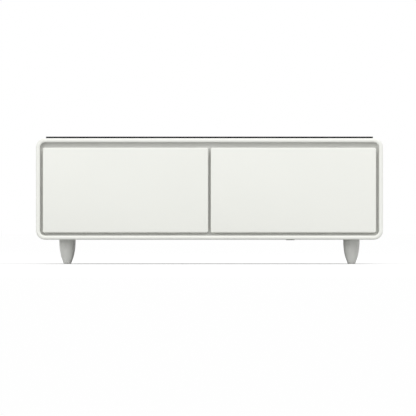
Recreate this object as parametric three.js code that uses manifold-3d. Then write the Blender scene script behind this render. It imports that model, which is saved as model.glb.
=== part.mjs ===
// Coffee table with two refrigerated drawers: a rounded white sleeve on four turned legs, a black
// glass top, two insulated drawers on telescopic slides, and a refrigeration unit behind them.
// Millimetres, +Z up, +Y to the back; the origin is on the floor under the middle of the table.

import * as THREE from 'three';
import { mergeVertices } from 'three/addons/utils/BufferGeometryUtils.js';
import Module from 'manifold-3d';

const wasm = await Module();
wasm.setup();

// Overall size and the gaps between pieces
const TABLE_WIDTH = 1300;
const TABLE_DEPTH = 650;
const CABINET_HEIGHT = 380;
const LEG_HEIGHT = 91;
const SEAT_GAP = 0.3;
const MOVING_GAP = 0.5;
const OVERRUN = 5;

// Counts of facets and steps
const CORNER_STEPS = 5;
const SEAL_STEPS = 3;
const HIDDEN_STEPS = 2;
const EDGE_STEPS = 3;
const ROUND_SIDES = 16;
const SMALL_SIDES = 8;
const PIPE_SIDES = 6;
const BEND_STEPS = 2;

// Cabinet sleeve
const WALL = 16;
const SLEEVE_RADIUS = 35;
const LIP_RADIUS = 7;
const SKIN = 4;
const DUCT_RADIUS = 5;
const SHARPEST_RADIUS = 0.5;

// Glass top and the touch control under it
const GLASS_THICKNESS = 6;
const GLASS_SIDE_INSET = 37;
const GLASS_END_INSET = 20;
const GLASS_RADIUS = 24;
const GLASS_EDGE = 0.8;
const CONTROL_WIDTH = 230;
const CONTROL_DEPTH = 52;
const CONTROL_HEIGHT = 8;
const CONTROL_RADIUS = 8;
const CONTROL_FROM_FRONT = 92;
const CONTROL_EDGE = 1;
const KEY_COUNT = 5;
const KEY_RADIUS = 11;
const KEY_DIMPLE = 1.2;

// Legs, their studs and floor glides
const LEG_INSET = 116;
const LEG_TOP_RADIUS = 29.2;
const LEG_FOOT_RADIUS = 13.3;
const LEG_FLARE_POWER = 2.4;
const LEG_STEPS = 6;
const STUD_RADIUS = 4;
const STUD_IN_LEG = 32;
const STUD_TIP = 1;
const GLIDE_HEIGHT = 2.5;
const GLIDE_RADIUS = 12.4;
const GLIDE_PEG_RADIUS = 4;
const GLIDE_PEG_HEIGHT = 9;
const GLIDE_EDGE = 0.8;

// Night-light sensor under the front edge
const SENSOR_X = 302.6;
const SENSOR_FROM_FRONT = 40;
const SENSOR_RADIUS = 17;
const SENSOR_FLANGE = 1.4;
const SENSOR_BODY_RADIUS = 13;
const SENSOR_LENS_RADIUS = 9;
const SENSOR_LENS_DEPTH = 0.9;

// Drawer fronts: a face panel on a backing board that stops lower, which leaves the pull
const FRONT_SETBACK = 2;
const FRONT_THICKNESS = 22;
const FACE_THICKNESS = 9;
const FRONT_RADIUS = 7;
const FRONT_EDGE = 5;
const FRONT_BACK_EDGE = 1;
const SIDE_REVEAL = 9.5;
const CENTRE_REVEAL = 9;
const BOTTOM_REVEAL = 10;
const FINGER_REVEAL = 19;
const PULL_HEIGHT = 7;

// Door seal and the groove that holds it
const SEAL_GAP = 3.5;
const SEAL_WIDTH = 11.4;
const GROOVE_DEPTH = 8.3;
const SEAL_BEAD = 1.2;
const SEAL_WAIST = 2;
const SEAL_FROM_OPENING = 8;

// Face frame and inner door
const FRAME_THICKNESS = 12;
const FRAME_OVERLAP = 30;
const OPENING_RADIUS = 14;
const DOOR_MARGIN = 6;
const DOOR_THICKNESS = 25;
const DOOR_EDGE = 3;
const DOOR_RIM = 26;
const DOOR_PAN_DEPTH = 8;
const DOOR_PAN_SLOPE = 6;

// Cold compartments
const LINER_WALL = 3;
const LINER_FLANGE = 12;
const LINER_FLANGE_THICKNESS = 2;
const LINER_BACK_RADIUS = 10;
const FOAM_BEHIND = 40;
const LAMP_WIDTH = 300;
const LAMP_DEPTH = 14;
const LAMP_HEIGHT = 5;
const LAMP_FROM_FRAME = 30;
const LAMP_EDGE = 1.5;

// Bins
const BIN_FLOOR_GAP = 10;
const BIN_HEADROOM = 34;
const BIN_BACK_GAP = 14;
const BIN_WALL = 2.5;
const BIN_RADIUS = 18;
const BIN_FLOOR_RADIUS = 12;
const BIN_RIM_WIDTH = 7;
const BIN_RIM_HEIGHT = 9;

// Telescopic slides: rolled members, with rows of balls that run in the races between them
const SLIDE_HEIGHT = 45;
const SLIDE_STEEL = 1.5;
const RACE_RADIUS = 2.375;
const RACE_STEP_SHARE = 0.5;
const RACE_LIP = -15;
const RACE_STEPS = 4;
const FOLD_STEPS = 3;
const SLIDE_RISE = 118;
const SLIDE_BACK_GAP = 10;
const SLIDE_FRONT_GAP = 4;

// Machine room behind the foam
const ROOM_DEPTH = 159;
const PANEL_THICKNESS = 3;
const PANEL_RECESS = 13;
const SLOT_WIDTH = 6;
const SLOT_HEIGHT = 84;
const SLOT_PITCH = 18;
const SLOT_COUNT = 7;
const SLOT_ROW_GAP = 22;
const SLOT_END_STEPS = 2;
const VENT_PLACE_SHARE = 0.3;

// Evaporators on the backs of the compartments
const EVAPORATOR_MARGIN_X = 40;
const EVAPORATOR_MARGIN_Z = 30;
const EVAPORATOR_PLATE = 1.5;
const EVAPORATOR_TUBE = 3;
const EVAPORATOR_SINK = 0.8;
const EVAPORATOR_RUNS = 4;
const EVAPORATOR_TUBE_INSET = 26;

// Compressor and its rail
const COMPRESSOR_PLACE_SHARE = -0.29;
const COMPRESSOR_RADIUS = 62;
const COMPRESSOR_HEIGHT = 150;
const COMPRESSOR_SEAM_SHARE = 0.56;
const COMPRESSOR_SEAM_WIDTH = 4;
const COMPRESSOR_SEAM_HEIGHT = 5;
const COMPRESSOR_DOME = 34;
const COMPRESSOR_BOWL = 16;
const FEET_WIDTH = 168;
const FEET_DEPTH = 120;
const FEET_THICKNESS = 3;
const FEET_RADIUS = 14;
const FEET_HOLE_INSET = 14;
const GROMMET_RADIUS = 10;
const GROMMET_HEIGHT = 12;
const GROMMET_PIN = 5;
const RAIL_PLATE = 2.5;
const RAIL_MARGIN = 6;
const TERMINAL_WIDTH = 46;
const TERMINAL_HEIGHT = 52;
const TERMINAL_DEPTH = 24;
const STUB_LENGTH = 14;

// Condenser and filter drier
const CONDENSER_PLACE_SHARE = 0.27;
const CONDENSER_THICKNESS = 44;
const CONDENSER_TOP_GAP = 42;
const CONDENSER_FLOOR_GAP = 12;
const CONDENSER_RUNS = 4;
const CONDENSER_FINS = 5;
const CONDENSER_FIN = 1;
const CONDENSER_END_PLATE = 2;
const CONDENSER_TUBE = 4;
const CONDENSER_BEND_REACH = 16;
const CONDENSER_STUB = 48;
const DRIER_RADIUS = 9;
const DRIER_LENGTH = 90;
const DRIER_NECK = 16;

// Refrigerant pipes
const PIPE_RADIUS = 3;
const PIPE_BEND = 16;

// Fan
const FAN_PLACE_SHARE = 0.02;
const BULKHEAD_THICKNESS = 3;
const FAN_HOLE_MARGIN = 12;
const FAN_COLLAR_WALL = 3;
const FAN_COLLAR_LENGTH = 24;
const FAN_TIP_GAP = 4;
const FAN_HUB_RADIUS = 21;
const FAN_HUB_LENGTH = 20;
const FAN_HUB_GAP = 2;
const FAN_BLADES = 5;
const FAN_BLADE_THICKNESS = 2;
const FAN_BLADE_SHARE = 0.78;
const FAN_BLADE_STEPS = 4;
const FAN_PITCH_AT_HUB = 0.9;
const FAN_PITCH_AT_TIP = 0.5;
const MOTOR_RADIUS = 22;
const MOTOR_LENGTH = 34;
const MOTOR_EDGE = 3;
const SHAFT_RADIUS = 3;
const MOTOR_RING = 4;
const SPIDER_ARMS = 3;
const SPIDER_ARM_WIDTH = 9;
const SPIDER_STEPS = 6;

// Drip tray, control board and mains inlet
const TRAY_PLACE_SHARE = -0.1;
const TRAY_WIDTH = 130;
const TRAY_MARGIN = 12;
const TRAY_HEIGHT = 26;
const TRAY_WALL = 2;
const TRAY_RADIUS = 12;
const BOARD_LENGTH = 120;
const BOARD_HEIGHT = 150;
const BOARD_THICKNESS = 2;
const BOARD_STANDOFF = 12;
const BOARD_PIN_RADIUS = 4;
const BOARD_PIN_INSET = 10;
const RELAY_SIZE = 20;
const RELAY_HEIGHT = 16;
const COIL_RADIUS = 18;
const COIL_HEIGHT = 24;
const INLET_PLACE_SHARE = 0.44;
const INLET_FROM_FLOOR = 34;
const INLET_WIDTH = 50;
const INLET_HEIGHT = 34;
const INLET_RADIUS = 5;
const INLET_FLANGE = 3;
const INLET_BODY_INSET = 6;
const INLET_BODY_DEPTH = 20;
const INLET_MOUTH_INSET = 9;
const INLET_MOUTH_DEPTH = 17;

// Levels and places that follow from the sizes above
const FRONT = -TABLE_DEPTH / 2;
const BACK = TABLE_DEPTH / 2;
const BASE = LEG_HEIGHT;
const TOP = LEG_HEIGHT + CABINET_HEIGHT;
const MIDDLE = (BASE + TOP) / 2;
const FLOOR_IN = BASE + WALL;
const CEILING_IN = TOP - WALL;
const INNER_WIDTH = TABLE_WIDTH - 2 * WALL;
const INNER_HEIGHT = CABINET_HEIGHT - 2 * WALL;
const INNER_RADIUS = Math.max(SLEEVE_RADIUS - WALL, SHARPEST_RADIUS);

const FRONT_WIDTH = (INNER_WIDTH - 2 * SIDE_REVEAL - CENTRE_REVEAL) / 2;
const FRONT_HEIGHT = INNER_HEIGHT - BOTTOM_REVEAL - FINGER_REVEAL;
const FRONT_FACE = FRONT + FRONT_SETBACK;
const FRONT_BACK = FRONT_FACE + FRONT_THICKNESS;
const DRAWER_X = (CENTRE_REVEAL + FRONT_WIDTH) / 2;
const DRAWER_Z = FLOOR_IN + BOTTOM_REVEAL + FRONT_HEIGHT / 2;

const FRAME_FACE = FRONT_BACK + SEAL_GAP;
const FRAME_BACK = FRAME_FACE + FRAME_THICKNESS;
const OPENING_WIDTH = FRONT_WIDTH - 2 * FRAME_OVERLAP;
const OPENING_HEIGHT = FRONT_HEIGHT - 2 * FRAME_OVERLAP;
const OPENING_FLOOR = DRAWER_Z - OPENING_HEIGHT / 2;
const OPENING_CEILING = DRAWER_Z + OPENING_HEIGHT / 2;

const PANEL_BACK = BACK - PANEL_RECESS;
const PANEL_FRONT = PANEL_BACK - PANEL_THICKNESS;
const FOAM_BACK = PANEL_FRONT - ROOM_DEPTH;
const ROOM_Y = (FOAM_BACK + PANEL_FRONT) / 2;

const EVAPORATOR_DEPTH = EVAPORATOR_PLATE - EVAPORATOR_SINK + 2 * EVAPORATOR_TUBE;
const LINER_FRONT = FRAME_BACK + SEAT_GAP;
const LINER_BACK = FOAM_BACK - FOAM_BEHIND;
const LINER_DEPTH = LINER_BACK - LINER_FRONT;
const EVAPORATOR_FRONT = LINER_BACK + SEAT_GAP;
const EVAPORATOR_BACK = EVAPORATOR_FRONT + EVAPORATOR_DEPTH;

const DOOR_FRONT = FRONT_BACK + SEAT_GAP;
const DOOR_BACK = DOOR_FRONT + DOOR_THICKNESS;
const BIN_FRONT = DOOR_BACK + SEAT_GAP;
const BIN_BACK = LINER_BACK - LINER_WALL - BIN_BACK_GAP;
const BIN_LENGTH = BIN_BACK - BIN_FRONT;
const RACE_OUTSIDE = RACE_RADIUS + SLIDE_STEEL;
const RACE_SLANT = THREE.MathUtils.radToDeg(Math.acos(RACE_STEP_SHARE));
const RACE_STEP_IN = (RACE_RADIUS + RACE_OUTSIDE) * RACE_STEP_SHARE;
const RACE_STEP_DOWN = RACE_STEP_IN * Math.tan(Math.acos(RACE_STEP_SHARE));
const SLIDE_THICKNESS = 2 * (RACE_OUTSIDE + RACE_STEP_IN);
const BIN_WIDTH = OPENING_WIDTH - 2 * (SLIDE_THICKNESS + 2 * SEAT_GAP);
const BIN_FLOOR = OPENING_FLOOR + BIN_FLOOR_GAP;
const BIN_HEIGHT = OPENING_HEIGHT - BIN_FLOOR_GAP - BIN_HEADROOM;
const SLIDE_Z = BIN_FLOOR + SLIDE_RISE;
const SLIDE_FRONT = BIN_FRONT + SLIDE_FRONT_GAP;
const SLIDE_LENGTH = BIN_BACK - SLIDE_BACK_GAP - SLIDE_FRONT;

const LANE_Y = FOAM_BACK + SEAT_GAP + DRIER_RADIUS;
const COMPRESSOR_X = COMPRESSOR_PLACE_SHARE * INNER_WIDTH;
const CONDENSER_X = CONDENSER_PLACE_SHARE * INNER_WIDTH;
const FAN_X = FAN_PLACE_SHARE * INNER_WIDTH;
const TRAY_X = TRAY_PLACE_SHARE * INNER_WIDTH;
const INLET_X = INLET_PLACE_SHARE * INNER_WIDTH;
const VENT_X = VENT_PLACE_SHARE * INNER_WIDTH;
const INLET_Z = FLOOR_IN + INLET_FROM_FLOOR;
const FAN_RADIUS = ROOM_DEPTH / 2 - FAN_HOLE_MARGIN - FAN_COLLAR_WALL - FAN_TIP_GAP;
const FAN_HOLE = FAN_RADIUS + FAN_TIP_GAP;

const EVAPORATOR_WIDTH = OPENING_WIDTH - 2 * EVAPORATOR_MARGIN_X;
const EVAPORATOR_HEIGHT = OPENING_HEIGHT - 2 * EVAPORATOR_MARGIN_Z;
const EVAPORATOR_RUN = EVAPORATOR_WIDTH / 2 - EVAPORATOR_TUBE_INSET;
const EVAPORATOR_RISE = EVAPORATOR_HEIGHT / 2 - EVAPORATOR_TUBE_INSET;
const LINK_X = DRAWER_X - EVAPORATOR_RUN;
const LINK_LOW = DRAWER_Z - EVAPORATOR_RISE;
const LINK_HIGH = DRAWER_Z + EVAPORATOR_RISE;

const CONDENSER_BASE = FLOOR_IN + CONDENSER_FLOOR_GAP;
const CONDENSER_HEAD = CEILING_IN - CONDENSER_TOP_GAP;
const CONDENSER_HEIGHT = CONDENSER_HEAD - CONDENSER_BASE;
const CONDENSER_PITCH = CONDENSER_HEIGHT / CONDENSER_RUNS;
const CONDENSER_LOW = CONDENSER_BASE + CONDENSER_PITCH / 2;
const CONDENSER_HIGH = CONDENSER_HEAD - CONDENSER_PITCH / 2;
const CONDENSER_INLET = CONDENSER_X - CONDENSER_STUB;

const RAIL_TOP = FLOOR_IN + SEAT_GAP + RAIL_PLATE;
const FEET_BASE = RAIL_TOP + GROMMET_HEIGHT + SEAT_GAP;
const CAN_BASE = FEET_BASE + FEET_THICKNESS / 2;
const CAN_TOP = CAN_BASE + COMPRESSOR_HEIGHT;
const SUCTION_Z = CAN_BASE + COMPRESSOR_HEIGHT / 2 - COMPRESSOR_BOWL;
const SUCTION_X = COMPRESSOR_X + COMPRESSOR_RADIUS + STUB_LENGTH;
const DISCHARGE_TOP = CAN_TOP + STUB_LENGTH;

// Ways of laying a form drawn as (across, up, deep) into the table
const upright = (x, y, z) => (across, up, deep) => new THREE.Vector3(x + across, y + deep, z + up);
const flat = (x, y, z) => (across, up, deep) => new THREE.Vector3(x + across, y + up, z + deep);
const sideways = (x, y, z) => (across, up, deep) => new THREE.Vector3(x + deep, y + across, z + up);

// Gives a closed mesh with shared corners and its faces pointing out
function closed(geometry) {
  geometry.deleteAttribute('normal');
  geometry.deleteAttribute('uv');
  const merged = mergeVertices(geometry);
  const corners = merged.attributes.position;
  const [a, b, c] = [new THREE.Vector3(), new THREE.Vector3(), new THREE.Vector3()];
  const faces = [];
  let volume = 0;
  for (let i = 0; i < merged.index.count; i += 3) {
    const [p, q, r] = [0, 1, 2].map((k) => merged.index.getX(i + k));
    if (p === q || q === r || r === p) continue;
    a.fromBufferAttribute(corners, p);
    b.fromBufferAttribute(corners, q);
    c.fromBufferAttribute(corners, r);
    volume += a.dot(b.cross(c));
    faces.push([p, q, r]);
  }
  merged.setIndex(faces.flatMap(([p, q, r]) => (volume < 0 ? [p, r, q] : [p, q, r])));
  return merged;
}

function laid(geometry, place) {
  const corners = geometry.attributes.position;
  for (let i = 0; i < corners.count; i += 1) {
    const point = place(corners.getX(i), corners.getY(i), corners.getZ(i));
    corners.setXYZ(i, point.x, point.y, point.z);
  }
  return closed(geometry);
}

// Joins rings of points into one skin, with a cap on the first and last or round in a loop
function skin(rings, looped = false) {
  const count = rings[0].length;
  const index = [];
  const last = looped ? rings.length : rings.length - 1;
  for (let i = 0; i < last; i += 1) {
    const near = i * count;
    const far = ((i + 1) % rings.length) * count;
    for (let j = 0; j < count; j += 1) {
      const next = (j + 1) % count;
      index.push(near + j, near + next, far + next, near + j, far + next, far + j);
    }
  }
  if (!looped) {
    const end = (rings.length - 1) * count;
    for (let j = 1; j < count - 1; j += 1) {
      index.push(0, j + 1, j, end, end + j, end + j + 1);
    }
  }
  const geometry = new THREE.BufferGeometry().setFromPoints(rings.flat());
  geometry.setIndex(index);
  return closed(geometry);
}

function roundedRing(width, height, radius, steps, place, deep) {
  const round = Math.max(radius, SHARPEST_RADIUS);
  const ring = [];
  for (let corner = 0; corner < 4; corner += 1) {
    const right = corner === 0 || corner === 3 ? 1 : -1;
    const above = corner < 2 ? 1 : -1;
    for (let step = 0; step <= steps; step += 1) {
      const angle = (corner + step / steps) * Math.PI / 2;
      ring.push(place(
        right * (width / 2 - round) + round * Math.cos(angle),
        above * (height / 2 - round) + round * Math.sin(angle),
        deep,
      ));
    }
  }
  return ring;
}

// A form with a rounded-rectangle outline; each station is [how far it is drawn in, how deep]
function rounded(width, height, radius, stations, place, options = {}) {
  const { steps = CORNER_STEPS, looped = false } = options;
  return skin(stations.map(([inset, deep]) => roundedRing(
    width - 2 * inset, height - 2 * inset, radius - inset, steps, place, deep,
  )), looped);
}

function arc(centreA, centreB, radius, from, to, steps = EDGE_STEPS) {
  const points = [];
  for (let step = 0; step <= steps; step += 1) {
    const angle = THREE.MathUtils.degToRad(from + (to - from) * step / steps);
    points.push([centreA + radius * Math.cos(angle), centreB + radius * Math.sin(angle)]);
  }
  return points;
}

function roundedShape(width, height, radius, steps = HIDDEN_STEPS) {
  return new THREE.Shape(roundedRing(
    width, height, radius, steps, (across, up) => new THREE.Vector2(across, up), 0,
  ));
}

function roundedHole(width, height, radius, x = 0, y = 0, steps = HIDDEN_STEPS) {
  return new THREE.Path(roundedRing(
    width, height, radius, steps, (across, up) => new THREE.Vector2(x + across, y + up), 0,
  ));
}

function outline(points) {
  return new THREE.Shape(points.map(([x, y]) => new THREE.Vector2(x, y)));
}

function prism(shape, from, to, place) {
  const geometry = new THREE.ExtrudeGeometry(shape, { depth: to - from, bevelEnabled: false });
  return laid(geometry, (across, up, deep) => place(across, up, from + deep));
}

function turned(profile, place, sides = ROUND_SIDES) {
  const points = profile.map(([radius, along]) => new THREE.Vector2(radius, along));
  const geometry = new THREE.LatheGeometry(points, sides);
  return laid(geometry, (x, along, z) => place(x, z, along));
}

function rod(radius, from, to, place, sides = ROUND_SIDES) {
  return turned([[0, from], [radius, from], [radius, to], [0, to]], place, sides);
}

function box(from, to) {
  const geometry = new THREE.BoxGeometry(to[0] - from[0], to[1] - from[1], to[2] - from[2]);
  geometry.translate((from[0] + to[0]) / 2, (from[1] + to[1]) / 2, (from[2] + to[2]) / 2);
  return closed(geometry);
}

// A line through given points, so that a tube along it has one ring at each point
class Route extends THREE.Curve {
  constructor(points) {
    super();
    this.points = points;
  }

  getPoint(t) {
    const place = t * (this.points.length - 1);
    const index = Math.min(Math.floor(place), this.points.length - 2);
    return this.points[index].clone().lerp(this.points[index + 1], place - index);
  }

  getPointAt(u) {
    return this.getPoint(u);
  }

  getTangentAt(u) {
    const index = Math.round(u * (this.points.length - 1));
    const before = this.points[Math.max(index - 1, 0)];
    const after = this.points[Math.min(index + 1, this.points.length - 1)];
    return after.clone().sub(before).normalize();
  }
}

// Rounds each inner corner of a route with an arc of the bend radius
function bent(corners, bend) {
  const points = corners.map(([x, y, z]) => new THREE.Vector3(x, y, z));
  const path = [points[0]];
  for (let i = 1; i < points.length - 1; i += 1) {
    const back = points[i - 1].clone().sub(points[i]).normalize();
    const on = points[i + 1].clone().sub(points[i]).normalize();
    const half = back.angleTo(on) / 2;
    const centre = back.clone().add(on).setLength(bend / Math.sin(half)).add(points[i]);
    const start = back.multiplyScalar(bend / Math.tan(half)).add(points[i]).sub(centre);
    const end = on.multiplyScalar(bend / Math.tan(half)).add(points[i]).sub(centre);
    const sweep = start.angleTo(end);
    for (let step = 0; step <= BEND_STEPS; step += 1) {
      const share = step / BEND_STEPS;
      const point = start.clone().multiplyScalar(Math.sin((1 - share) * sweep) / Math.sin(sweep));
      point.addScaledVector(end, Math.sin(share * sweep) / Math.sin(sweep)).add(centre);
      path.push(point);
    }
  }
  path.push(points[points.length - 1]);
  return path;
}

function tube(corners, radius, bend) {
  const path = bent(corners, bend);
  const ring = arc(0, 0, radius, 0, 360, PIPE_SIDES).slice(0, PIPE_SIDES);
  const along = { extrudePath: new Route(path), steps: path.length - 1 };
  return closed(new THREE.ExtrudeGeometry(outline(ring), along));
}

function solid(geometry) {
  const vertProperties = new Float32Array(geometry.attributes.position.array);
  const triVerts = new Uint32Array(geometry.index.array);
  return new wasm.Manifold(new wasm.Mesh({ numProp: 3, vertProperties, triVerts }));
}

function surface(body) {
  const mesh = body.getMesh();
  const corners = new Float32Array(mesh.vertProperties);
  const geometry = new THREE.BufferGeometry();
  geometry.setAttribute('position', new THREE.BufferAttribute(corners, 3));
  geometry.setIndex(Array.from(mesh.triVerts));
  return geometry;
}

function fused(...pieces) {
  return surface(pieces.map(solid).reduce((whole, piece) => whole.add(piece)));
}

function cut(base, ...tools) {
  return surface(tools.map(solid).reduce((whole, tool) => whole.subtract(tool), solid(base)));
}

// Colours and finishes
const WHITE = { color: 0xedeee8, roughness: 0.35, metalness: 0 };
const FRAME_WHITE = { color: 0xdcdcd6, roughness: 0.5, metalness: 0 };
const BLACK_GLASS = { color: 0x141414, roughness: 0.05, metalness: 0 };
const BLACK_PLASTIC = { color: 0x1c1c1d, roughness: 0.5, metalness: 0 };
const LEG_GREY = { color: 0xbdbeb9, roughness: 0.4, metalness: 0 };
const RUBBER = { color: 0x8f9192, roughness: 0.8, metalness: 0 };
const LINER_WHITE = { color: 0xe9ebec, roughness: 0.4, metalness: 0 };
const FOAM = { color: 0xe6d9a8, roughness: 0.95, metalness: 0 };
const CLEAR = { color: 0xdfe6e8, roughness: 0.15, metalness: 0 };
const STEEL = { color: 0xb9bcbf, roughness: 0.3, metalness: 1 };
const COMPRESSOR_BLACK = { color: 0x202122, roughness: 0.45, metalness: 0 };
const ALUMINIUM = { color: 0xc6c9cb, roughness: 0.4, metalness: 1 };
const COPPER = { color: 0xb87347, roughness: 0.3, metalness: 1 };
const BOARD_GREEN = { color: 0x1f5a3a, roughness: 0.6, metalness: 0 };

const table = new THREE.Group();

function add(parent, name, geometry, finish) {
  const mesh = new THREE.Mesh(geometry, new THREE.MeshStandardMaterial(finish));
  mesh.name = name;
  parent.add(mesh);
  return mesh;
}

function group(parent, x, y, z) {
  const branch = new THREE.Group();
  branch.position.set(x, y, z);
  parent.add(branch);
  return branch;
}

const POCKET_DEPTH = WALL - SKIN;
const LEG_PLACES = [
  ['front_left', -1, -1], ['front_right', 1, -1], ['back_left', -1, 1], ['back_right', 1, 1],
].map(([name, sideX, sideY]) => ({
  name,
  x: sideX * (TABLE_WIDTH / 2 - LEG_INSET),
  y: sideY * (TABLE_DEPTH / 2 - LEG_INSET),
}));
const CONTROL_Y = FRONT + CONTROL_FROM_FRONT;
const SENSOR_Y = FRONT + SENSOR_FROM_FRONT;

// The sleeve is one band of board, with rounded lips at the front and back and pockets for the
// touch control, the leg studs and the sensor
function cabinetSleeve() {
  const stations = [
    ...arc(LIP_RADIUS, LIP_RADIUS, LIP_RADIUS, 180, 270),
    ...arc(WALL - LIP_RADIUS, LIP_RADIUS, LIP_RADIUS, 270, 360),
    ...arc(WALL - LIP_RADIUS, TABLE_DEPTH - LIP_RADIUS, LIP_RADIUS, 0, 90),
    ...arc(LIP_RADIUS, TABLE_DEPTH - LIP_RADIUS, LIP_RADIUS, 90, 180),
  ];
  const place = upright(0, FRONT, MIDDLE);
  const band = rounded(TABLE_WIDTH, CABINET_HEIGHT, SLEEVE_RADIUS, stations, place, { looped: true });
  const gap = 2 * SEAT_GAP;
  const controlPocket = prism(
    roundedShape(CONTROL_WIDTH + gap, CONTROL_DEPTH + gap, CONTROL_RADIUS + SEAT_GAP),
    TOP - CONTROL_HEIGHT - SEAT_GAP, TOP + OVERRUN, flat(0, CONTROL_Y, 0),
  );
  const wireDuct = rod(
    DUCT_RADIUS, CEILING_IN - OVERRUN, TOP, flat(0, CONTROL_Y, 0), SMALL_SIDES,
  );
  const studHoles = LEG_PLACES.map((leg) => rod(
    STUD_RADIUS + SEAT_GAP, BASE - OVERRUN, BASE + POCKET_DEPTH, flat(leg.x, leg.y, 0), SMALL_SIDES,
  ));
  const sensorPocket = rod(
    SENSOR_BODY_RADIUS + SEAT_GAP, BASE - OVERRUN, BASE + POCKET_DEPTH, flat(SENSOR_X, SENSOR_Y, 0),
  );
  return cut(band, controlPocket, wireDuct, ...studHoles, sensorPocket);
}

function glassTop() {
  const stations = [
    [GLASS_EDGE, 0],
    [0, GLASS_EDGE],
    [0, GLASS_THICKNESS - GLASS_EDGE],
    [GLASS_EDGE, GLASS_THICKNESS],
  ];
  const width = TABLE_WIDTH - 2 * GLASS_SIDE_INSET;
  const depth = TABLE_DEPTH - 2 * GLASS_END_INSET;
  return rounded(width, depth, GLASS_RADIUS, stations, flat(0, 0, TOP + SEAT_GAP));
}

// The touch control lies flush in its pocket, with a shallow dimple under each touch key
function touchControl() {
  const place = flat(0, CONTROL_Y, TOP - CONTROL_HEIGHT);
  const body = rounded(
    CONTROL_WIDTH, CONTROL_DEPTH, CONTROL_RADIUS,
    [[CONTROL_EDGE, 0], [0, CONTROL_EDGE], [0, CONTROL_HEIGHT]], place, { steps: HIDDEN_STEPS },
  );
  const pitch = CONTROL_WIDTH / KEY_COUNT;
  const dimples = Array.from({ length: KEY_COUNT }, (_, key) => rod(
    KEY_RADIUS, CONTROL_HEIGHT - KEY_DIMPLE, CONTROL_HEIGHT + OVERRUN,
    flat((key - (KEY_COUNT - 1) / 2) * pitch, CONTROL_Y, TOP - CONTROL_HEIGHT), SMALL_SIDES,
  ));
  return cut(body, ...dimples);
}

// A turned leg: narrow at the floor, flaring ever faster to its seat under the sleeve, bored at
// the top for the stud and at the foot for the glide's peg
function leg() {
  const foot = GLIDE_HEIGHT + SEAT_GAP;
  const head = LEG_HEIGHT - SEAT_GAP;
  const profile = [[0, foot]];
  for (let step = 0; step <= LEG_STEPS; step += 1) {
    const share = step / LEG_STEPS;
    const flare = 1 - (1 - share) ** LEG_FLARE_POWER;
    const radius = LEG_FOOT_RADIUS + (LEG_TOP_RADIUS - LEG_FOOT_RADIUS) * flare;
    profile.push([radius, foot + (head - foot) * share]);
  }
  profile.push([0, head]);
  const pegBore = rod(
    GLIDE_PEG_RADIUS + SEAT_GAP, foot - OVERRUN, foot + GLIDE_PEG_HEIGHT, flat(0, 0, 0), SMALL_SIDES,
  );
  const studBore = rod(
    STUD_RADIUS + SEAT_GAP, head - STUD_IN_LEG - SEAT_GAP, head + OVERRUN, flat(0, 0, 0), SMALL_SIDES,
  );
  return cut(turned(profile, flat(0, 0, 0)), pegBore, studBore);
}

function legStud() {
  const low = LEG_HEIGHT - SEAT_GAP - STUD_IN_LEG;
  const high = BASE + POCKET_DEPTH - SEAT_GAP;
  return turned([
    [0, low],
    [STUD_RADIUS - STUD_TIP, low],
    [STUD_RADIUS, low + STUD_TIP],
    [STUD_RADIUS, high - STUD_TIP],
    [STUD_RADIUS - STUD_TIP, high],
    [0, high],
  ], flat(0, 0, 0), SMALL_SIDES);
}

function legGlide() {
  return turned([
    [0, 0],
    [GLIDE_RADIUS - GLIDE_EDGE, 0],
    [GLIDE_RADIUS, GLIDE_EDGE],
    [GLIDE_RADIUS, GLIDE_HEIGHT],
    [GLIDE_PEG_RADIUS, GLIDE_HEIGHT],
    [GLIDE_PEG_RADIUS, GLIDE_HEIGHT + GLIDE_PEG_HEIGHT],
    [0, GLIDE_HEIGHT + GLIDE_PEG_HEIGHT],
  ], flat(0, 0, 0), SMALL_SIDES);
}

function sensor() {
  const under = BASE - SEAT_GAP;
  return turned([
    [0, under - SENSOR_FLANGE + SENSOR_LENS_DEPTH],
    [SENSOR_LENS_RADIUS, under - SENSOR_FLANGE],
    [SENSOR_RADIUS - SENSOR_FLANGE / 2, under - SENSOR_FLANGE],
    [SENSOR_RADIUS, under - SENSOR_FLANGE / 2],
    [SENSOR_RADIUS, under],
    [SENSOR_BODY_RADIUS, under],
    [SENSOR_BODY_RADIUS, BASE + POCKET_DEPTH - SEAT_GAP],
    [0, BASE + POCKET_DEPTH - SEAT_GAP],
  ], flat(SENSOR_X, SENSOR_Y, 0));
}

// The face frame carries the seals and closes the foam off from the front
function faceFrame() {
  const shape = roundedShape(
    INNER_WIDTH - 2 * SEAT_GAP, INNER_HEIGHT - 2 * SEAT_GAP, INNER_RADIUS - SEAT_GAP,
  );
  for (const side of [-1, 1]) {
    shape.holes.push(roundedHole(
      OPENING_WIDTH, OPENING_HEIGHT, OPENING_RADIUS, side * DRAWER_X, DRAWER_Z - MIDDLE,
    ));
  }
  return prism(shape, 0, FRAME_THICKNESS, upright(0, FRAME_FACE, MIDDLE));
}

// A cold compartment: a thin moulded tub, open to the front, with a flange behind the face frame
function linerStations(grow) {
  const back = LINER_DEPTH + grow;
  const round = LINER_BACK_RADIUS;
  return [
    ...arc(round - grow, back - round, round, 90, 180, HIDDEN_STEPS),
    [-grow, LINER_FLANGE_THICKNESS + grow],
    [-LINER_FLANGE - grow, LINER_FLANGE_THICKNESS + grow],
  ];
}

const LINER_WIDTH = OPENING_WIDTH + 2 * LINER_WALL;
const LINER_HEIGHT = OPENING_HEIGHT + 2 * LINER_WALL;
const LINER_RADIUS = OPENING_RADIUS + LINER_WALL;

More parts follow.
